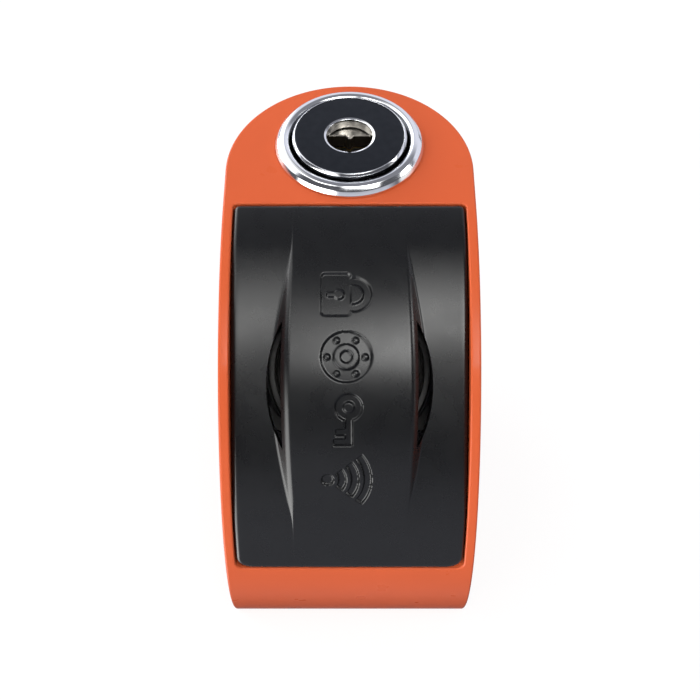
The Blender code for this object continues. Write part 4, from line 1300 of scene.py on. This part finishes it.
# ---- bushes, stop pin, return spring, plunger and screws -----------------------------------------
def build_bushes():
    # object name, CAD node, low and high, material, slot
    for name, node, low, high, mat, slot in (
        ("pin_guide_bush", "guide_bush", 34.1, 36.9, BRONZE, "bronze"),
        ("jaw_hard_bush", "jaw_bush", 18.1, 25.9, STEEL, "hard_steel"),
    ):
        shape = turned(washer_profile(7.3, 9.2, low, high, 0.35, 4))
        show(place(shape, name, [mat]), "lock_body", node)


def build_stop_pin():
    shape = rod((0, 31.4, STOP_PIN_Z), (0, 38.0, STOP_PIN_Z), 1.5, 48, 0.25)
    show(place(shape, "cylinder_stop_pin", [STEEL]), "lock_body", "stop_pin")


def build_return_spring():
    """The spring stretches between the bore's floor and the rising cylinder."""
    coil_r, low, high = 8.7, 37.55, 42.4
    turns, steps = 4.6, 30
    total = round(turns * steps)
    path = [
        (
            coil_r * math.cos(2 * math.pi * i / steps),
            PIN_Y + coil_r * math.sin(2 * math.pi * i / steps),
            low + (high - low) * i / total,
        )
        for i in range(total + 1)
    ]
    spring = place(sweep(path, 0.5), "cylinder_return_spring", [SPRING], weighted=False)
    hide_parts("return_spring")
    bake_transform(spring)


def build_plunger():
    profile = [
        (0, 5.5), (1.7, 5.5, 0.2), (1.7, 6.6, 0.15), (0.85, 6.6, 0.1), (0.85, 11.6, 0.3),
        (0.5, 12.05, 0.2), (0, 12.2),
    ]
    shape = turned(rounded(profile, 3), 32, at(0, 0, PLUNGER_Z, (0, 1, 0)))
    plunger = place(shape, "armed_switch_plunger", [BRASS])
    show(plunger, "switch_plunger", "plunger_rod")


def build_cap_screws():
    """Screws with a hex socket, in the slot's end wall."""
    profile = [
        (0, 0), (1.45, 0, 0.3), (1.45, 9.9, 0.1), (2.6, 9.9, 0.1), (2.6, 11.6, 0.25), (0, 11.6),
    ]
    hexagon = arc_points(0, 0, 1.3, 0, 360, 6)[:-1]
    for side_name, side in (("left", -1), ("right", 1)):
        axis = at(side * SCREW_X, -14.6, SCREW_Z, (0, 1, 0))
        shape = turned(rounded(profile, 3), 48, axis)
        screw = place(shape, f"unit_screw_{side_name}", [BRUSHED], 30)
        carve(screw, cutter(plate(hexagon, 10.4, 13.0, axis), "socket", BRUSHED))
        tidy(screw, 30)
        show(screw, "lock_body", f"chassis_screw_{side_name}")


# ---- siren ---------------------------------------------------------------------------------------
# Heights are distances from the front circle's centre.
SIREN_AXIS = radial_frame(51.5)
SIREN_BASE, SIREN_RIM, SIREN_R = 29.6, 37.4, 14.6
GRILLE_R = 14.06
# The grille's ridges from the outside in: outer radius, inner radius, depth below the rim.
RIDGES = [
    (GRILLE_R, 12.9, 0.0), (12.76, 12.15, 0.3), (11.95, 11.1, 0.7), (10.4, 9.4, 1.0),
    (8.6, 7.4, 1.1), (6.6, 5.4, 1.1),
]


def build_grille():
    bottom, groove = SIREN_RIM - 2.3, SIREN_RIM - 1.9
    profile = [(GRILLE_R, bottom)]
    for outer, inner, down in RIDGES:
        crest = SIREN_RIM - down
        profile += [
            (outer, crest - 0.22),
            (outer - 0.16, crest - 0.05),
            ((outer + inner) / 2, crest),
            (inner + 0.16, crest - 0.05),
            (inner, crest - 0.22),
            (inner - 0.02, groove),
        ]
        if outer > 7:
            profile.append((profile[-1][0] - 0.12, groove))
    profile += [(4.6, SIREN_RIM - 1.5), (2.4, SIREN_RIM - 0.7), (0, SIREN_RIM - 0.4)]
    profile += [(0, bottom)]
    grille = place(turned(profile, 160, SIREN_AXIS), "siren_ring_grille", [HORN], 30)
    show(grille, "lock_body", "siren_horn")


def build_siren_can():
    rim_inner, wall_inner, ledge = SIREN_R - 0.5, SIREN_R - 2.4, SIREN_RIM - 3.9
    profile = [
        (0, SIREN_BASE), (SIREN_R, SIREN_BASE, 0.6), (SIREN_R, SIREN_RIM, 0.15),
        (rim_inner, SIREN_RIM, 0.15), (rim_inner, ledge, 0.1), (wall_inner, ledge, 0.1),
        (wall_inner, SIREN_BASE + 1.2, 0.3), (0, SIREN_BASE + 1.2),
    ]
    # The can's colour is black plastic, partly painted shade.
    can = place(turned(rounded(profile, 3), 160, SIREN_AXIS), "siren_can", [CAN])
    show(can, "lock_body", "siren_housing")


def build_membrane():
    # radius, depth below the rim
    stations = [
        (0, 3.6), (13.2, 3.6), (13.2, 3.45), (10.8, 3.4), (10.3, 3.15), (9.6, 2.95), (0, 2.9),
    ]
    profile = [(radius, SIREN_RIM - down) for radius, down in stations]
    membrane = place(turned(profile, 160, SIREN_AXIS), "siren_membrane", [BRASS])
    show(membrane, "lock_body", "siren_diaphragm")


# ---- CAD pieces that keep their shape ------------------------------------------------------------
CAD_FINISHES = [
    (RUBBER, ["cover_gasket"]),
    (PLASTIC, ["alarm_chassis"]),
    (BOARD, ["circuit_board"]),
    (CHIP, ["microcontroller", "motion_sensor", "micro_switch"]),
    (WRAP, ["capacitor", "battery_cell"]),
    (COPPER, ["boost_coil"]),
    (SPRING, ["battery_spring_contact", "battery_plate_contact"]),
    (RED, ["battery_wire_red", "siren_wire_red"]),
    (BLACK, ["battery_wire_black", "siren_wire_black"]),
    (STEEL, ["latch_bolt"]),
    (OXIDE, [f"board_screw_{number}" for number in range(1, 5)]),
]


def paint_cad():
    for mat, nodes in CAD_FINISHES:
        for node in nodes:
            materials = NODES[node].data.materials
            materials.clear()
            materials.append(mat)


# ---- floor ---------------------------------------------------------------------------------------
FLOOR_HALF, FLOOR_LEVEL = 3.0, -0.00005  # metres
FLOOR_GLOW = 0.86  # the share of the floor's look that is plain white light


def build_floor():
    shape = bmesh.new()
    corners = ((-1, -1), (1, -1), (1, 1), (-1, 1))
    shape.faces.new(
        [shape.verts.new((x * FLOOR_HALF, y * FLOOR_HALF, FLOOR_LEVEL)) for x, y in corners]
    )
    mesh = bpy.data.meshes.new("floor")
    shape.to_mesh(mesh)
    shape.free()
    floor = bpy.data.objects.new("floor", mesh)
    bpy.context.scene.collection.objects.link(floor)
    mat = finish(
        "pale_floor", (0.93, 0.93, 0.93), rough=0.8, vary=0.004, vary_scale=4, rough_vary=0.02,
        specular=0.0,
    )
    tree = mat.node_tree
    wire = tree.links.new
    glow = tree.nodes.new("ShaderNodeEmission")
    glow.inputs["Color"].default_value = (1.0, 1.0, 1.0, 1)
    mix = tree.nodes.new("ShaderNodeMixShader")
    mix.inputs[0].default_value = FLOOR_GLOW
    wire(tree.nodes["Principled BSDF"].outputs[0], mix.inputs[1])
    wire(glow.outputs[0], mix.inputs[2])
    wire(mix.outputs[0], tree.nodes["Material Output"].inputs["Surface"])
    mesh.materials.append(mat)
    # The studio below the horizon comes from the world, so the floor only shows to the camera.
    floor.visible_diffuse = False
    floor.visible_glossy = False
    floor.visible_transmission = False


# ---- studio world --------------------------------------------------------------------------------
# Panels of light on the sky. Across is degrees to the right of the middle plane. Round is degrees
# from the front horizon over the top to the back.
# strength, across (low, high), its softness, round (low, high), its softness
LAMPS = [
    (12.5, (-2.8, 28), (9, 8), (52.6, 69), (2.5, 19)),  # main softbox, above the front
    (2.4, (6, 24), (8, 8), (58, 74), (6, 14)),  # its brighter right half
    (4.2, (-34, -12), (4, 4), (66, 84), (5, 6)),  # a strip to its left
    (6.8, (-70, -24), (8, 10), (-84, 34), (6, 10)),  # left, low
    (1.8, (-70, -24), (8, 10), (86, 142), (8, 14)),  # left, overhead
    (7.0, (-70, -24), (8, 10), (146, 178), (14, 4)),  # left, behind
    (10.0, (60, 76), (5, 5), (76, 108), (6, 8)),  # a small one high on the right
    (0.9, (72, 89), (4, 1), (-170, 60), (4, 12)),  # right edge
]
FILL = [
    (0.74, (-90, 90), (1, 1), (133.5, 179), (8, 1)),  # behind, over the top
    (0.14, (-90, 90), (1, 1), (76, 133.5), (8, 8)),  # overhead
    (0.53, (-32, 60), (10, 12), (-40, 16), (10, 8)),  # front, low
    (0.32, (-32, 60), (10, 12), (-84, -40), (6, 10)),  # front, lowest
    (0.60, (-60, 60), (10, 12), (-178, -112), (1, 10)),  # below, behind
]
FILL_BASE = 0.10  # even light from everywhere
LAMP_COLOUR = (1.0, 1.0, 0.985, 1)
FILL_COLOUR = (0.96, 0.98, 1.10, 1)
BACKDROP_COLOUR = (0.97, 0.97, 0.97, 1)  # what the camera sees


def build_world():
    world = bpy.data.worlds.new("studio")
    bpy.context.scene.world = world
    world.use_nodes = True
    tree = world.node_tree
    tree.nodes.clear()
    make, wire = tree.nodes.new, tree.links.new

    def calc(operation, *values):
        node = make("ShaderNodeMath")
        node.operation = operation
        for i, value in enumerate(values):
            if isinstance(value, (int, float)):
                node.inputs[i].default_value = value
            else:
                wire(value, node.inputs[i])
        return node.outputs[0]

    def step(value, start, end):
        """0 before start and 1 after end, smooth between them."""
        node = make("ShaderNodeMapRange")
        node.interpolation_type = "SMOOTHSTEP"
        node.inputs["From Min"].default_value = start
        node.inputs["From Max"].default_value = end
        wire(value, node.inputs["Value"])
        return node.outputs["Result"]

    def band(value, low, high, soft_low, soft_high):
        return calc(
            "MULTIPLY",
            step(value, low - soft_low, low + soft_low),
            calc("SUBTRACT", 1.0, step(value, high - soft_high, high + soft_high)),
        )

    def panels(base, rows):
        """The strength of a list of panels, added up over an even base."""
        total = calc("ADD", base, 0.0)
        for strength, across_span, across_soft, round_span, round_soft in rows:
            both = calc(
                "MULTIPLY",
                band(across, *across_span, *across_soft),
                band(around, *round_span, *round_soft),
            )
            total = calc("ADD", total, calc("MULTIPLY", both, strength))
        return total

    def background(colour, strength=None):
        node = make("ShaderNodeBackground")
        node.inputs["Color"].default_value = colour
        if strength is not None:
            wire(strength, node.inputs["Strength"])
        return node.outputs[0]

    coord = make("ShaderNodeTexCoord")
    split = make("ShaderNodeSeparateXYZ")
    wire(coord.outputs["Generated"], split.inputs[0])
    x, y, z = split.outputs
    degrees = 180 / math.pi
    across = calc("MULTIPLY", calc("ARCSINE", x), degrees)
    around = calc("MULTIPLY", calc("ARCTAN2", z, calc("MULTIPLY", y, -1.0)), degrees)
    lamps = panels(0.0, LAMPS)
    fill = panels(FILL_BASE, FILL)
    lamp_light = background(LAMP_COLOUR, lamps)
    fill_light = background(FILL_COLOUR, fill)
    studio = make("ShaderNodeAddShader")
    wire(lamp_light, studio.inputs[0])
    wire(fill_light, studio.inputs[1])
    backdrop = background(BACKDROP_COLOUR)
    path = make("ShaderNodeLightPath")
    mix = make("ShaderNodeMixShader")
    wire(path.outputs["Is Camera Ray"], mix.inputs[0])
    wire(studio.outputs[0], mix.inputs[1])
    wire(backdrop, mix.inputs[2])
    wire(mix.outputs[0], make("ShaderNodeOutputWorld").inputs["Surface"])


# ---- camera and view -----------------------------------------------------------------------------
def build_camera():
    data = bpy.data.cameras.new("camera")
    camera = bpy.data.objects.new("camera", data)
    bpy.context.scene.collection.objects.link(camera)
    data.sensor_width = 36.0
    data.lens = 74.57
    data.clip_start, data.clip_end = 0.01, 20.0
    data.shift_x, data.shift_y = 0.0006, -0.0019
    camera.location = (0.0, -0.16898, 0.25059)
    camera.rotation_euler = (math.radians(38.7), 0.0, 0.0)
    bpy.context.scene.camera = camera


def set_view():
    view = bpy.context.scene.view_settings
    view.view_transform = "Standard"
    view.look = "None"
    view.exposure = 0.0
    view.gamma = 1.0


# ---- build ---------------------------------------------------------------------------------------
build_casting()
build_cover()
build_bezel()
build_shell()
build_face_plate()
build_pin()
build_latch_spring()
build_snap_ring()
build_rotor()
build_disc_pack()
build_tail_cam()
build_bushes()
build_stop_pin()
build_return_spring()
build_plunger()
build_cap_screws()
build_grille()
build_siren_can()
build_membrane()
paint_cad()
set_view()
build_floor()
build_world()
build_camera()
